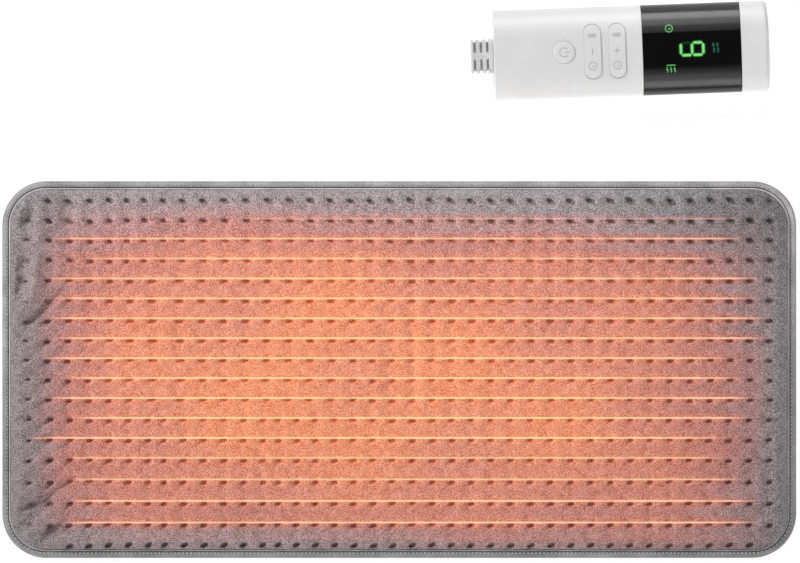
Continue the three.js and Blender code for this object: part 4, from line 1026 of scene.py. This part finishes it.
def rounded_block(start, end, width, height, corner, steps=6):
    """A bar along the controller with rounded long edges, on the cord's line."""
    bm = bmesh.new()
    bmesh.ops.create_cube(bm, size=1, matrix=Matrix.Translation(((start + end) / 2, 0, PARTING))
                          @ Matrix.Diagonal((end - start, width, height, 1)))
    long_edges = [e for e in bm.edges if abs(e.verts[0].co.x - e.verts[1].co.x) > 1e-4]
    bmesh.ops.bevel(
        bm, geom=long_edges, offset=corner, segments=steps, profile=0.5, affect="EDGES", material=-1
    )
    return bm


def neck_notch(housing):
    """Cuts the notch for the boot's neck in the end wall of a housing half."""
    width, height, corner = NECK
    tool = rounded_block(CORD_END - 3, CORD_END + NECK_LENGTH, width + NECK_GAP, height + NECK_GAP, corner)
    carve(housing, controller_piece("neck_notch", tool))


bm = body_bar(CORD_END, BAND_END - SEAM)
round_end(bm, CORD_END, END_ROUND)
keep_half(bm, PARTING - SEAM / 2, upper=False)
open_end(bm, BAND_END - SEAM)
to_shell(bm, WALL)
lower_housing = controller_piece("controller_tray", bm)
for x in SCREW_X:
    for y in (-SCREW_Y, SCREW_Y):
        carve(lower_housing, controller_piece("screw_recess", post(x, y, -5, RECESS_TOP, RECESS_R)))
neck_notch(lower_housing)
# White ABS: a clean satin moulding with the fine spark grain of the tool, and just off white.
white_moulding = moulded("white ABS", "#dedede", "#e4e4e4", 0.38, grain_mm=0.5, bump=0.05)
even_shading(lower_housing)
lower_housing.data.materials.append(white_moulding)
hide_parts("lower_housing")
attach(lower_housing, "root")

# Controller upper housing: the white ABS half with the control face. It has one round and two long
# openings for the keys, meets the tray along the parting line and stops at the black display band.
BUTTON_X = -44.0
BUTTON_R = 7.37
KEY_X = {"decrease_key": -25.5, "increase_key": -9.5}
KEY_WIDTH = 10.94
KEY_LENGTH = 35.5
KEY_GAP = 0.12
KEY_END_GAP = 0.35
KEY_PROUD = 0.6
# Height above the body that the tools for the openings and the keys reach.
TOOL_TOP = 40


def pill_bar(x, width, length, low, high):
    """An upright bar with a pill outline, long across the controller."""
    bm = post(x, 0, low, high, width / 2, steps=48)
    stretch = (length - width) / 2
    for vert in bm.verts:
        vert.co.y += math.copysign(stretch, vert.co.y)
    return bm


bm = body_bar(CORD_END, BAND_START)
round_end(bm, CORD_END, END_ROUND)
keep_half(bm, PARTING + SEAM / 2, upper=True)
open_end(bm, BAND_START)
to_shell(bm, WALL)
upper_housing = controller_piece("controller_shell", bm)
opening = post(BUTTON_X, 0, 20, TOOL_TOP, BUTTON_R + KEY_GAP, steps=64)
carve(upper_housing, controller_piece("button_opening", opening))
for x in KEY_X.values():
    opening = pill_bar(x, KEY_WIDTH + 2 * KEY_GAP, KEY_LENGTH + 2 * KEY_END_GAP, 16, TOOL_TOP)
    carve(upper_housing, controller_piece("key_opening", opening))
neck_notch(upper_housing)
even_shading(upper_housing)
upper_housing.data.materials.append(white_moulding)
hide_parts("upper_housing")
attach(upper_housing, "root")

# End cap: the white ABS end of the controller beyond the display, pushed on over a spigot of the tray.
# Its end is softly bowed and its edges are well rounded.
CAP_ROUND = 2.6
CAP_BOW = 0.6

bm = body_bar(BAND_END, CAP_END)
round_end(bm, CAP_END, CAP_ROUND, segments=8)
open_end(bm, BAND_END)
for vert in bm.verts:
    vert.co.x -= CAP_BOW * (vert.co.y / BODY_HALF) ** 2 * float(rise(vert.co.x, BAND_END + 6, CAP_END))
to_shell(bm, WALL)
end_cap = controller_piece("controller_end_cap", bm)
even_shading(end_cap)
end_cap.data.materials.append(white_moulding)
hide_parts("end_cap")
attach(end_cap, "root")

# Display lens: an arch of polished black polycarbonate across the controller, flush with the white
# housing at both ends. The lit digit and symbols shine through it.
bm = body_bar(BAND_START + SEAM, BAND_END - SEAM)
keep_half(bm, PARTING + SEAM / 2, upper=True)
open_end(bm, BAND_START + SEAM)
open_end(bm, BAND_END - SEAM)
to_shell(bm, WALL)
lens = controller_piece("display_arch", bm)
# Polished smoked polycarbonate: near black and glossy, with a trace of moulding ripple.
smoked, tree, shader, place = new_material(
    "smoked polycarbonate", {"Base Color": paint("#050505"), "Roughness": 0.22}
)
ripple = add_node(tree, "TexNoise", {"Vector": place, "Scale": 1 / (14 * MM), "Detail": 1.0})
haze = add_node(tree, "MapRange", {"Value": ripple.outputs[0], "To Min": 0.19, "To Max": 0.27})
tree.links.new(haze.outputs[0], shader.inputs["Roughness"])
waves = add_node(tree, "Bump", {"Height": ripple.outputs[0], "Strength": 0.04, "Distance": 0.2 * MM})
tree.links.new(waves.outputs[0], shader.inputs["Normal"])
even_shading(lens)
lens.data.materials.append(smoked)
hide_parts("display_lens")
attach(lens, "root")
dress(black_moulding, "display_frame", "display_module", "control_chip")

# Lit digit and symbols: light from the display's seven bars and three small lamps, seen at the face of
# the lens. Six bars show a nine; the seventh is unlit and has only a faint painted glow; a clock, heat
# waves and a dim unit mark sit round it.
DIGIT_X = 39.3
DIGIT_Y = -0.7
DIGIT_LONG = 16.3
DIGIT_WIDE = 9.8
BAR_WIDE = 1.75
BAR_GAP = 0.35
HALO_WIDE = BAR_WIDE + 1.6
CLOCK_X, CLOCK_Y = 24.7, 13.1
CLOCK_R = 2.3
CLOCK_HANDS = (1.4, 1.2)
HAND_WIDE = 0.6
SYMBOL_WIDE = 0.7
# Each heat wave is two arcs that bend opposite ways, over one foot bar (start, end, place across, width).
WAVES_X = (22.8, 25.2, 27.6)
WAVES_Y = (-14.6, -12.9)
WAVE_R = 0.9
WAVE_LEAN = 0.6
WAVE_SWEEP = 150
WAVE_FOOT = (22.3, 28.2, -10.9, 0.8)
# The unit mark's two bars at each place: shift along, start and end across, and width.
UNIT_X = (53.2, 55.8)
UNIT_BARS = ((0.0, 0.2, 2.6, 1.5), (0.4, -3.6, -0.5, 1.3))
FILM_GROW = 0.02
FILM_PROUD = 0.04


def bar_mark(bm, x0, y0, x1, y1, width, pointed=True):
    """A flat bar between two places, with the slanted ends of a display segment or square ones."""
    way = Vector((x1 - x0, y1 - y0))
    length = way.length
    turn = Matrix.Rotation(math.atan2(way.y, way.x), 4, "Z")
    place = Matrix.Translation(((x0 + x1) / 2, (y0 + y1) / 2, 0)) @ turn
    made = bmesh.ops.create_grid(bm, x_segments=8, y_segments=2, size=0.5)["verts"]
    for vert in made:
        along = vert.co.x * length
        across = vert.co.y * width
        if pointed:
            along -= math.copysign(1, along) * abs(across) if abs(vert.co.x) > 0.49 else 0
        vert.co = place @ Vector((along, across, 0))


def ring_mark(bm, x, y, radius, width, start=0.0, sweep=360.0, steps=28):
    """A flat ring or part of one, spun from a short edge."""
    inner = bm.verts.new((x + (radius - width / 2) * math.cos(math.radians(start)),
                          y + (radius - width / 2) * math.sin(math.radians(start)), 0))
    outer = bm.verts.new((x + (radius + width / 2) * math.cos(math.radians(start)),
                          y + (radius + width / 2) * math.sin(math.radians(start)), 0))
    edge = bm.edges.new((inner, outer))
    bmesh.ops.spin(
        bm, geom=[inner, outer, edge], cent=(x, y, 0), axis=(0, 0, 1), angle=math.radians(sweep), steps=steps,
        use_merge=sweep == 360.0,
    )


def laid_on(name, bm, grow, thick=0.12):
    """Lays flat marks on the body's top, grown by an amount, as a thin film let into it."""
    bmesh.ops.recalc_face_normals(bm, faces=bm.faces)
    upper = set(drawn_out(bm, (0, 0, 0)))
    for vert in bm.verts:
        vert.co.z = crest(vert.co.y, grow) + (FILM_PROUD if vert in upper else FILM_PROUD - thick)
    return controller_piece(name, bm, sharp=50)


def light_material(name, colour):
    """Light of one colour through the lens, a little uneven along each bar."""
    material, tree, shader, place = new_material(name, {"Base Color": paint("#050505"), "Roughness": 0.12})
    uneven = add_node(tree, "TexNoise", {"Vector": place, "Scale": 1 / (4 * MM), "Detail": 1.0})
    tone = add_node(tree, "MapRange", {"Value": uneven.outputs[0], "To Min": 0.85, "To Max": 1.15})
    light = add_node(
        tree, "Mix", {0: 1.0, 6: paint(colour), 7: tone.outputs[0]}, data_type="RGBA", blend_type="MULTIPLY"
    )
    tree.links.new(light.outputs[2], shader.inputs["Emission Color"])
    shader.inputs["Emission Strength"].default_value = 1.0
    return material


# The digit is read with the end cap at its top, so its top bar is the one nearest the cap.
top = DIGIT_X + DIGIT_LONG / 2 - BAR_WIDE / 2
foot = DIGIT_X - DIGIT_LONG / 2 + BAR_WIDE / 2
left = DIGIT_Y + DIGIT_WIDE / 2 - BAR_WIDE / 2
right = DIGIT_Y - DIGIT_WIDE / 2 + BAR_WIDE / 2
SEGMENTS = {
    "top": (top, left, top, right),
    "upper_right": (DIGIT_X, right, top, right),
    "lower_right": (foot, right, DIGIT_X, right),
    "foot": (foot, left, foot, right),
    "upper_left": (DIGIT_X, left, top, left),
    "middle": (DIGIT_X, left, DIGIT_X, right),
}
bm = bmesh.new()
halo = bmesh.new()
for x0, y0, x1, y1 in SEGMENTS.values():
    way = Vector((x1 - x0, y1 - y0)).normalized() * BAR_GAP
    bar_mark(bm, x0 + way.x, y0 + way.y, x1 - way.x, y1 - way.y, BAR_WIDE)
    bar_mark(halo, x0 - way.x, y0 - way.y, x1 + way.x, y1 + way.y, HALO_WIDE)
digit = laid_on("lit_digit", bm, FILM_GROW)
digit.data.materials.append(light_material("green display light", "#82e07a"))
glow = laid_on("digit_halo", halo, 0.0)
glow.data.materials.append(light_material("green light spread in the lens", "#0f3d1c"))
# The unlit bar is given a faint painted glow, though it gives no light.
bm = bmesh.new()
bar_mark(bm, foot + BAR_GAP, left, DIGIT_X - BAR_GAP, left, BAR_WIDE)
unlit_bar_faint_glow = laid_on("unlit_bar", bm, FILM_GROW)
unlit_bar_faint_glow.data.materials.append(light_material("unlit display bar", "#12301c"))

bm = bmesh.new()
ring_mark(bm, CLOCK_X, CLOCK_Y, CLOCK_R, SYMBOL_WIDE)
bar_mark(bm, CLOCK_X, CLOCK_Y, CLOCK_X + CLOCK_HANDS[0], CLOCK_Y, HAND_WIDE, pointed=False)
bar_mark(bm, CLOCK_X, CLOCK_Y, CLOCK_X, CLOCK_Y - CLOCK_HANDS[1], HAND_WIDE, pointed=False)
for x in WAVES_X:
    for y, lean, start in zip(WAVES_Y, (-WAVE_LEAN, WAVE_LEAN), (-60, 120)):
        ring_mark(bm, x + lean, y, WAVE_R, SYMBOL_WIDE, start=start, sweep=WAVE_SWEEP, steps=8)
start, end, y, width = WAVE_FOOT
bar_mark(bm, start, y, end, y, width, pointed=False)
symbols = laid_on("lit_symbols", bm, FILM_GROW)
symbols.data.materials.append(light_material("green symbol light", "#57ae60"))
bm = bmesh.new()
for x in UNIT_X:
    for shift, start, end, width in UNIT_BARS:
        bar_mark(bm, x + shift, start, x + shift, end, width, pointed=False)
unit_mark = laid_on("unit_mark", bm, FILM_GROW)
unit_mark.data.materials.append(light_material("dim teal lamp light", "#1f5a4c"))
for piece in (digit, glow, unlit_bar_faint_glow, symbols, unit_mark):
    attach(piece, "root")

# Cord boot: the light grey rubber strain relief at the controller's end, ribbed by three slots on each
# side that leave a spine between them. Its neck is held in the notch of the two housing halves.
BOOT_TIP = -104.6
BOOT_ROOT = -90.1
BOOT_WIDTH = 22.0
BOOT_HEIGHT = 14.0
BOOT_CORNER = 3.5
BOOT_BORE = 4.0
BOOT_SLEEVE = 5.4
SLOTS = 3
SLOT = 1.6
SLOT_PITCH = 4.15
SLOT_START = 3.7
SPINE = 4.2
BOOT_WEB = 5.0
WEB_INSET = 1.5
WEB_CORNER = 1.5
TIP_ROUND = 1.0
ROOT_INSET = 0.2
NECK_START = BOOT_ROOT - 0.3


def along_post(start, end, radius, steps=40):
    """A round bar along the cord's line."""
    bm = bmesh.new()
    bmesh.ops.create_cone(
        bm, cap_ends=True, segments=steps, radius1=radius, radius2=radius, depth=end - start,
        matrix=Matrix.Translation(((start + end) / 2, 0, PARTING)) @ Matrix.Rotation(math.pi / 2, 4, "Y"),
    )
    return bm


bm = rounded_block(BOOT_TIP, BOOT_ROOT, BOOT_WIDTH, BOOT_HEIGHT, BOOT_CORNER)
tip_edges = end_edges(bm, BOOT_TIP)
bmesh.ops.bevel(
    bm, geom=tip_edges, offset=TIP_ROUND, segments=4, profile=0.5, affect="EDGES", material=-1
)
boot = controller_piece("cord_boot", bm)
for number in range(SLOTS):
    middle = BOOT_ROOT - SLOT_START - number * SLOT_PITCH
    for side in (-1, 1):
        bm = bmesh.new()
        reach = BOOT_WIDTH / 2 - SPINE / 2 + 4
        bmesh.ops.create_cube(
            bm, size=1, matrix=Matrix.Translation((middle, side * (SPINE / 2 + reach / 2), PARTING))
            @ Matrix.Diagonal((SLOT, reach, BOOT_HEIGHT + 6, 1)),
        )
        carve(boot, controller_piece("boot_slot", bm))
web = rounded_block(
    BOOT_TIP + WEB_INSET, BOOT_ROOT - ROOT_INSET, BOOT_WIDTH - 2 * WEB_INSET, BOOT_WEB, WEB_CORNER
)
carve(boot, controller_piece("boot_web", web), "UNION")
sleeve = along_post(BOOT_TIP + TIP_ROUND, BOOT_ROOT - ROOT_INSET, BOOT_SLEEVE)
carve(boot, controller_piece("boot_sleeve", sleeve), "UNION")
neck = rounded_block(NECK_START, CORD_END + NECK_LENGTH, *NECK)
carve(boot, controller_piece("boot_neck", neck), "UNION")
carve(boot, controller_piece("boot_bore", along_post(BOOT_TIP - 3, CORD_END + 8, BOOT_BORE)))
# Soft rubber: matt light grey with a faint bloom.
rubber = moulded("soft grey rubber", "#c4c4c4", "#cdcdcd", 0.65, grain_mm=0.6, bump=0.1)
even_shading(boot)
boot.data.materials.append(rubber)
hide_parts("strain_relief")
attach(boot, "root")

# Power button: a round white ABS cap with a crowned face, held under the shell by a lip, on a stem that
# presses a silicone dome. The power symbol is printed on it in grey.
BUTTON_PROFILE = [
    (0.0, 20.9), (2.4, 20.9), (2.4, 26.4), (8.6, 26.4), (8.6, 27.6), (BUTTON_R, 27.6), (BUTTON_R, 29.9),
    (7.2, 30.3), (6.8, 30.5), (5.5, 30.6), (3.0, 30.66), (0.0, 30.68),
]
# The power symbol: the ring's radius and half the angle of its gap, the bar's reach, and the stroke.
POWER_R = 2.9
POWER_GAP = 38
POWER_BAR = (0.6, 3.6)
POWER_STROKE = 0.55
BUTTON_CROWN = 0.08


def turned(x, y, outline, steps):
    """A round piece turned from an outline of (radius, height) about an upright axis."""
    bm = bmesh.new()
    profile = [bm.verts.new((x + r, y, z)) for r, z in outline]
    edges = [bm.edges.new(pair) for pair in zip(profile, profile[1:])]
    bmesh.ops.spin(
        bm, geom=profile + edges, cent=(x, y, 0), axis=(0, 0, 1), angle=2 * math.pi, steps=steps,
        use_merge=True,
    )
    bmesh.ops.remove_doubles(bm, verts=bm.verts, dist=0.001)
    return bm


button = controller_piece("power_button_cap", turned(BUTTON_X, 0, BUTTON_PROFILE, steps=72))
button.data.materials.append(white_moulding)
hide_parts("power_button")
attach(button, "power_button")
bm = bmesh.new()
ring_mark(bm, BUTTON_X, 0, POWER_R, POWER_STROKE, start=POWER_GAP, sweep=360 - 2 * POWER_GAP, steps=30)
bar_mark(bm, BUTTON_X + POWER_BAR[0], 0, BUTTON_X + POWER_BAR[1], 0, POWER_STROKE, pointed=False)
power_symbol = laid_on("power_symbol", bm, KEY_PROUD + BUTTON_CROWN)
# Grey pad print: a thin matt film of ink, slightly flecked.
ink = clouded("grey pad print", {"Roughness": 0.6}, 0.4, 2.0, "#adadad", "#bababa")[0]
power_symbol.data.materials.append(ink)
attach(power_symbol, "power_button")

# Rocker keys: two long white ABS keys that follow the curve of the shell and rock on pins in its saddles.
# One end of each sets the heat and the other the timer, so each has a minus or plus between two symbols.
KEY_WALL = 1.5
KEY_BASE = 21.5
FOOT_Y = 12.6
FOOT_Z = 20.7
FOOT_TOP = 29.3
FOOT_R = 1.8
# The printed marks: the plus or minus in the middle, heat bars at one end and a clock at the other.
SIGN_HALF = 2.0
SIGN_STROKE = 0.6
HEAT_BARS_Y = (9.4, 10.3, 11.2)
TIMER_Y = -9.6
MARK_HALF = 2.6
MARK_STROKE = 0.5
# The clock's hands, each with its start and end from the clock's middle, and their stroke.
HAND_ALONG = (0.0, 1.6)
HAND_ACROSS = (-0.2, -1.4)
HAND_STROKE = 0.45

for name, x in KEY_X.items():
    key = controller_piece(name + "_cap", pill_bar(x, KEY_WIDTH, KEY_LENGTH, KEY_BASE, TOOL_TOP))
    carve(key, controller_piece("key_face", body_bar(x - 20, x + 20, KEY_PROUD)), "INTERSECT")
    hollow = pill_bar(x, KEY_WIDTH - 2 * KEY_WALL, KEY_LENGTH - 2 * KEY_WALL, 10, TOOL_TOP)
    hollow = controller_piece("key_hollow", hollow)
    carve(hollow, controller_piece("key_roof", body_bar(x - 20, x + 20, KEY_PROUD - KEY_WALL)), "INTERSECT")
    carve(key, hollow)
    for side in (-1, 1):
        foot_post = post(x, side * FOOT_Y, FOOT_Z, FOOT_TOP, FOOT_R)
        carve(key, controller_piece("key_foot", foot_post), "UNION")
    even_shading(key)
    key.data.materials.clear()
    key.data.materials.append(white_moulding)
    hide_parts(name)
    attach(key, name)
    bm = bmesh.new()
    bar_mark(bm, x, -SIGN_HALF, x, SIGN_HALF, SIGN_STROKE, pointed=False)
    if name == "increase_key":
        bar_mark(bm, x - SIGN_HALF, 0, x - SIGN_STROKE / 2, 0, SIGN_STROKE, pointed=False)
        bar_mark(bm, x + SIGN_STROKE / 2, 0, x + SIGN_HALF, 0, SIGN_STROKE, pointed=False)
    for y in HEAT_BARS_Y:
        bar_mark(bm, x - MARK_HALF, y, x + MARK_HALF, y, MARK_STROKE, pointed=False)
    ring_mark(bm, x, TIMER_Y, MARK_HALF, MARK_STROKE)
    start, end = HAND_ALONG
    bar_mark(bm, x + start, TIMER_Y, x + end, TIMER_Y, HAND_STROKE, pointed=False)
    start, end = HAND_ACROSS
    bar_mark(bm, x, TIMER_Y + start, x, TIMER_Y + end, HAND_STROKE, pointed=False)
    symbols = laid_on(name + "_symbols", bm, KEY_PROUD)
    symbols.data.materials.append(ink)
    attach(symbols, name)

# Inside the controller: silicone return domes on a green circuit board, with a triac, film capacitor,
# glass fuse, terminal block and control chip, all fixed by steel screws from below.
DOME_PROFILE = [
    (0.0, 18.8), (1.5, 18.8), (1.75, 18.6), (3.3, 17.2), (3.4, 16.85), (4.2, 16.85), (4.2, 17.4),
    (3.95, 17.65), (2.75, 18.75), (2.42, 19.15), (2.4, 20.1), (2.2, 20.36), (0.0, 20.4),
]
DOMES = {"power_dome": (BUTTON_X, 0, "power_press", 0.8)}
for name, x in KEY_X.items():
    side = name.removesuffix("_key")
    DOMES[side + "_heat_dome"] = (x, FOOT_Y, side + "_rock", 0.83)
    DOMES[side + "_timer_dome"] = (x, -FOOT_Y, side + "_rock", 0.83)

# Translucent silicone: soft, pale grey and matt.
silicone = moulded("translucent silicone", "#c6c6c6", "#d6d6d6", 0.55)
for name, (x, y, joint, keep) in DOMES.items():
    dome = controller_piece(name + "_bell", turned(x, y, DOME_PROFILE, steps=40))
    dome.data.materials.append(silicone)
    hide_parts(name)
    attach(dome, "root")
    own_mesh(dome)
# Solder-masked laminate: deep green with the paler trace of copper tracks under the mask.
laminate, tree, shader, place = new_material("solder-masked laminate", {"Roughness": 0.35})
tracks = add_node(
    tree, "TexBrick",
    {"Vector": place, "Scale": 1 / (6 * MM), "Color1": paint("#1d5c37"), "Color2": paint("#226640"),
     "Mortar": paint("#2f7d4d"), "Mortar Size": 0.06},
)
tree.links.new(tracks.outputs[0], shader.inputs["Base Color"])
dress(laminate, "circuit_board")
dress(grey_moulding, "triac")
# Blue moulding: the satin case of the capacitor and of the terminal block.
dress(moulded("blue moulding", "#2a5890", "#33659f", 0.4), "filter_capacitor", "terminal_block")
# Zinc-plated steel: bright grey metal with a faint patchy passivation.
steel = clouded("zinc-plated steel", {"Metallic": 1.0, "Roughness": 0.35}, 1.5, 3.0, "#a9abae", "#c6c8cb")[0]
dress(steel, "fuse", *[f"{kind}_screw_{n}" for kind in ("housing", "board") for n in (1, 2, 3, 4)])

# Studio: a wide white floor under the part, a key light from the back left, soft boxes and a dim surround,
# seen square from above. The floor shows white and keeps the part's shadow; from below it is not there, and
# two fills light the underside through it. Fills stay out of the reflections, the card is only seen in them.
FLOOR_HALF = 9000
FLOOR_DROP = 0.05
FLOOR_LIFT = 0.76

bm = bmesh.new()
bmesh.ops.create_grid(bm, x_segments=1, y_segments=1, size=FLOOR_HALF)
bmesh.ops.translate(bm, vec=(0, 0, -FLOOR_DROP), verts=bm.verts)
floor = mesh_piece("studio_floor", bm)
white_floor, tree, shader, place = new_material(
    "white studio floor", {"Base Color": paint("#a8a8a8"), "Roughness": 1.0, "Specular IOR Level": 0.0}
)
path = add_node(tree, "LightPath", {})
seen = path.outputs["Is Camera Ray"]
for ray in ("Is Glossy Ray", "Is Transmission Ray"):
    seen = add_node(tree, "Math", {0: seen, 1: path.outputs[ray]}, operation="MAXIMUM").outputs[0]
back = add_node(tree, "NewGeometry", {}).outputs["Backfacing"]
lift = add_node(tree, "Emission", {"Color": (1, 1, 1, 1)})
lifted = add_node(tree, "Math", {0: seen, 1: FLOOR_LIFT}, operation="MULTIPLY")
tree.links.new(lifted.outputs[0], lift.inputs["Strength"])
surface = add_node(tree, "AddShader", {0: shader.outputs[0], 1: lift.outputs[0]})
clear = add_node(tree, "BsdfTransparent", {})
passed = add_node(tree, "Math", {0: back, 1: path.outputs["Is Shadow Ray"]}, operation="MAXIMUM")
both = add_node(tree, "MixShader", {0: passed.outputs[0], 1: surface.outputs[0], 2: clear.outputs[0]})
tree.links.new(both.outputs[0], tree.nodes["Material Output"].inputs["Surface"])
floor.data.materials.append(white_floor)

# The soft boxes: place and size in metres, and radiance. All of them face the part's middle.
SOFT_BOXES = {
    "back_low_box": ((0.1, 1.85, 0.58), (0.6, 0.8), 2.2),
    "back_low_card": ((0.1, 1.86, 0.58), (0.6, 0.8), 4.6),
    "back_middle_box": ((0.1, 1.48, 1.19), (0.6, 0.5), 3.2),
    "back_high_box": ((0.1, 1.02, 1.55), (0.6, 0.55), 1.0),
    "front_low_box": ((0.1, -1.5, 0.45), (3.2, 0.8), 3.1),
    "front_middle_box": ((0.1, -1.1, 1.03), (0.6, 0.5), 1.8),
    "front_high_box": ((0.1, -0.75, 1.32), (0.6, 0.5), 0.7),
    "front_left_box": ((-1.5, -1.2, 0.3), (1.6, 0.6), 2.6),
    "right_low_box": ((1.9, 0.1, 0.4), (1.2, 0.6), 4.5),
    "top_fill": ((0.0, 0.1, 2.4), (1.6, 1.6), 0.92),
    "under_front_fill": ((-0.2, -1.1, -1.1), (1.4, 1.0), 4.5),
    "under_back_fill": ((0.9, 0.9, -1.3), (1.4, 1.0), 3.0),
}
LAMP_TARGET = Vector((0.05, 0.1, 0.0))
KEY_FROM = Vector((-0.74, 0.52, 0.42))
KEY_STRENGTH = 2.66
KEY_SPREAD = 14
lamps = []
for name, (spot, size, radiance) in SOFT_BOXES.items():
    data = bpy.data.lights.new(name, "AREA")
    data.shape = "RECTANGLE"
    data.size, data.size_y = size
    data.energy = radiance * math.pi * size[0] * size[1]
    lamp = bpy.data.objects.new(name, data)
    lamp.visible_glossy = not name.endswith("fill")
    lamp.visible_diffuse = not name.endswith("card")
    aim = (LAMP_TARGET - Vector(spot)).to_track_quat("-Z", "Y")
    lamp.matrix_world = Matrix.Translation(spot) @ aim.to_matrix().to_4x4()
    lamps.append(lamp)
data = bpy.data.lights.new("key_light", "SUN")
data.energy = KEY_STRENGTH
data.angle = math.radians(KEY_SPREAD)
lamp = bpy.data.objects.new("key_light", data)
lamp.matrix_world = KEY_FROM.to_track_quat("Z", "Y").to_matrix().to_4x4()
lamps.append(lamp)
for lamp in lamps:
    bpy.context.scene.collection.objects.link(lamp)

world = bpy.data.worlds.new("dim surround")
bpy.context.scene.world = world
world.use_nodes = True
tree = world.node_tree
path = add_node(tree, "LightPath", {})
seen = add_node(
    tree, "Math", {0: path.outputs["Is Camera Ray"], 1: path.outputs["Is Transmission Ray"]},
    operation="MAXIMUM",
)
toward = add_node(tree, "TexCoord", {}).outputs["Generated"]
height = add_node(tree, "SeparateXYZ", {0: toward}).outputs["Z"]
walls = add_node(
    tree, "MapRange",
    {"Value": height, "From Min": 0.92, "From Max": 0.7, "To Min": 0.05, "To Max": 0.1},
)
above = add_node(tree, "Math", {0: height, 1: 0.0}, operation="GREATER_THAN")
walls = add_node(tree, "Math", {0: walls.outputs[0], 1: above.outputs[0]}, operation="MULTIPLY")
level = add_node(tree, "Mix", {0: seen.outputs[0], 2: walls.outputs[0], 3: 1.0})
tree.links.new(level.outputs[0], tree.nodes["Background"].inputs["Strength"])
tree.nodes["Background"].inputs["Color"].default_value = (1, 1, 1, 1)

VIEW_ACROSS = 0.52296
VIEW_CENTRE = (0.0005, 0.0577)
LENS = 300.0
SENSOR = 36.0
camera_data = bpy.data.cameras.new("overhead")
camera_data.lens = LENS
camera_data.sensor_width = SENSOR
camera_data.clip_end = 60.0
camera = bpy.data.objects.new("overhead", camera_data)
bpy.context.scene.collection.objects.link(camera)
camera.location = (*VIEW_CENTRE, VIEW_ACROSS * LENS / SENSOR + COVER_CROWN * MM)
bpy.context.scene.camera = camera
bpy.context.scene.view_settings.view_transform = "Standard"
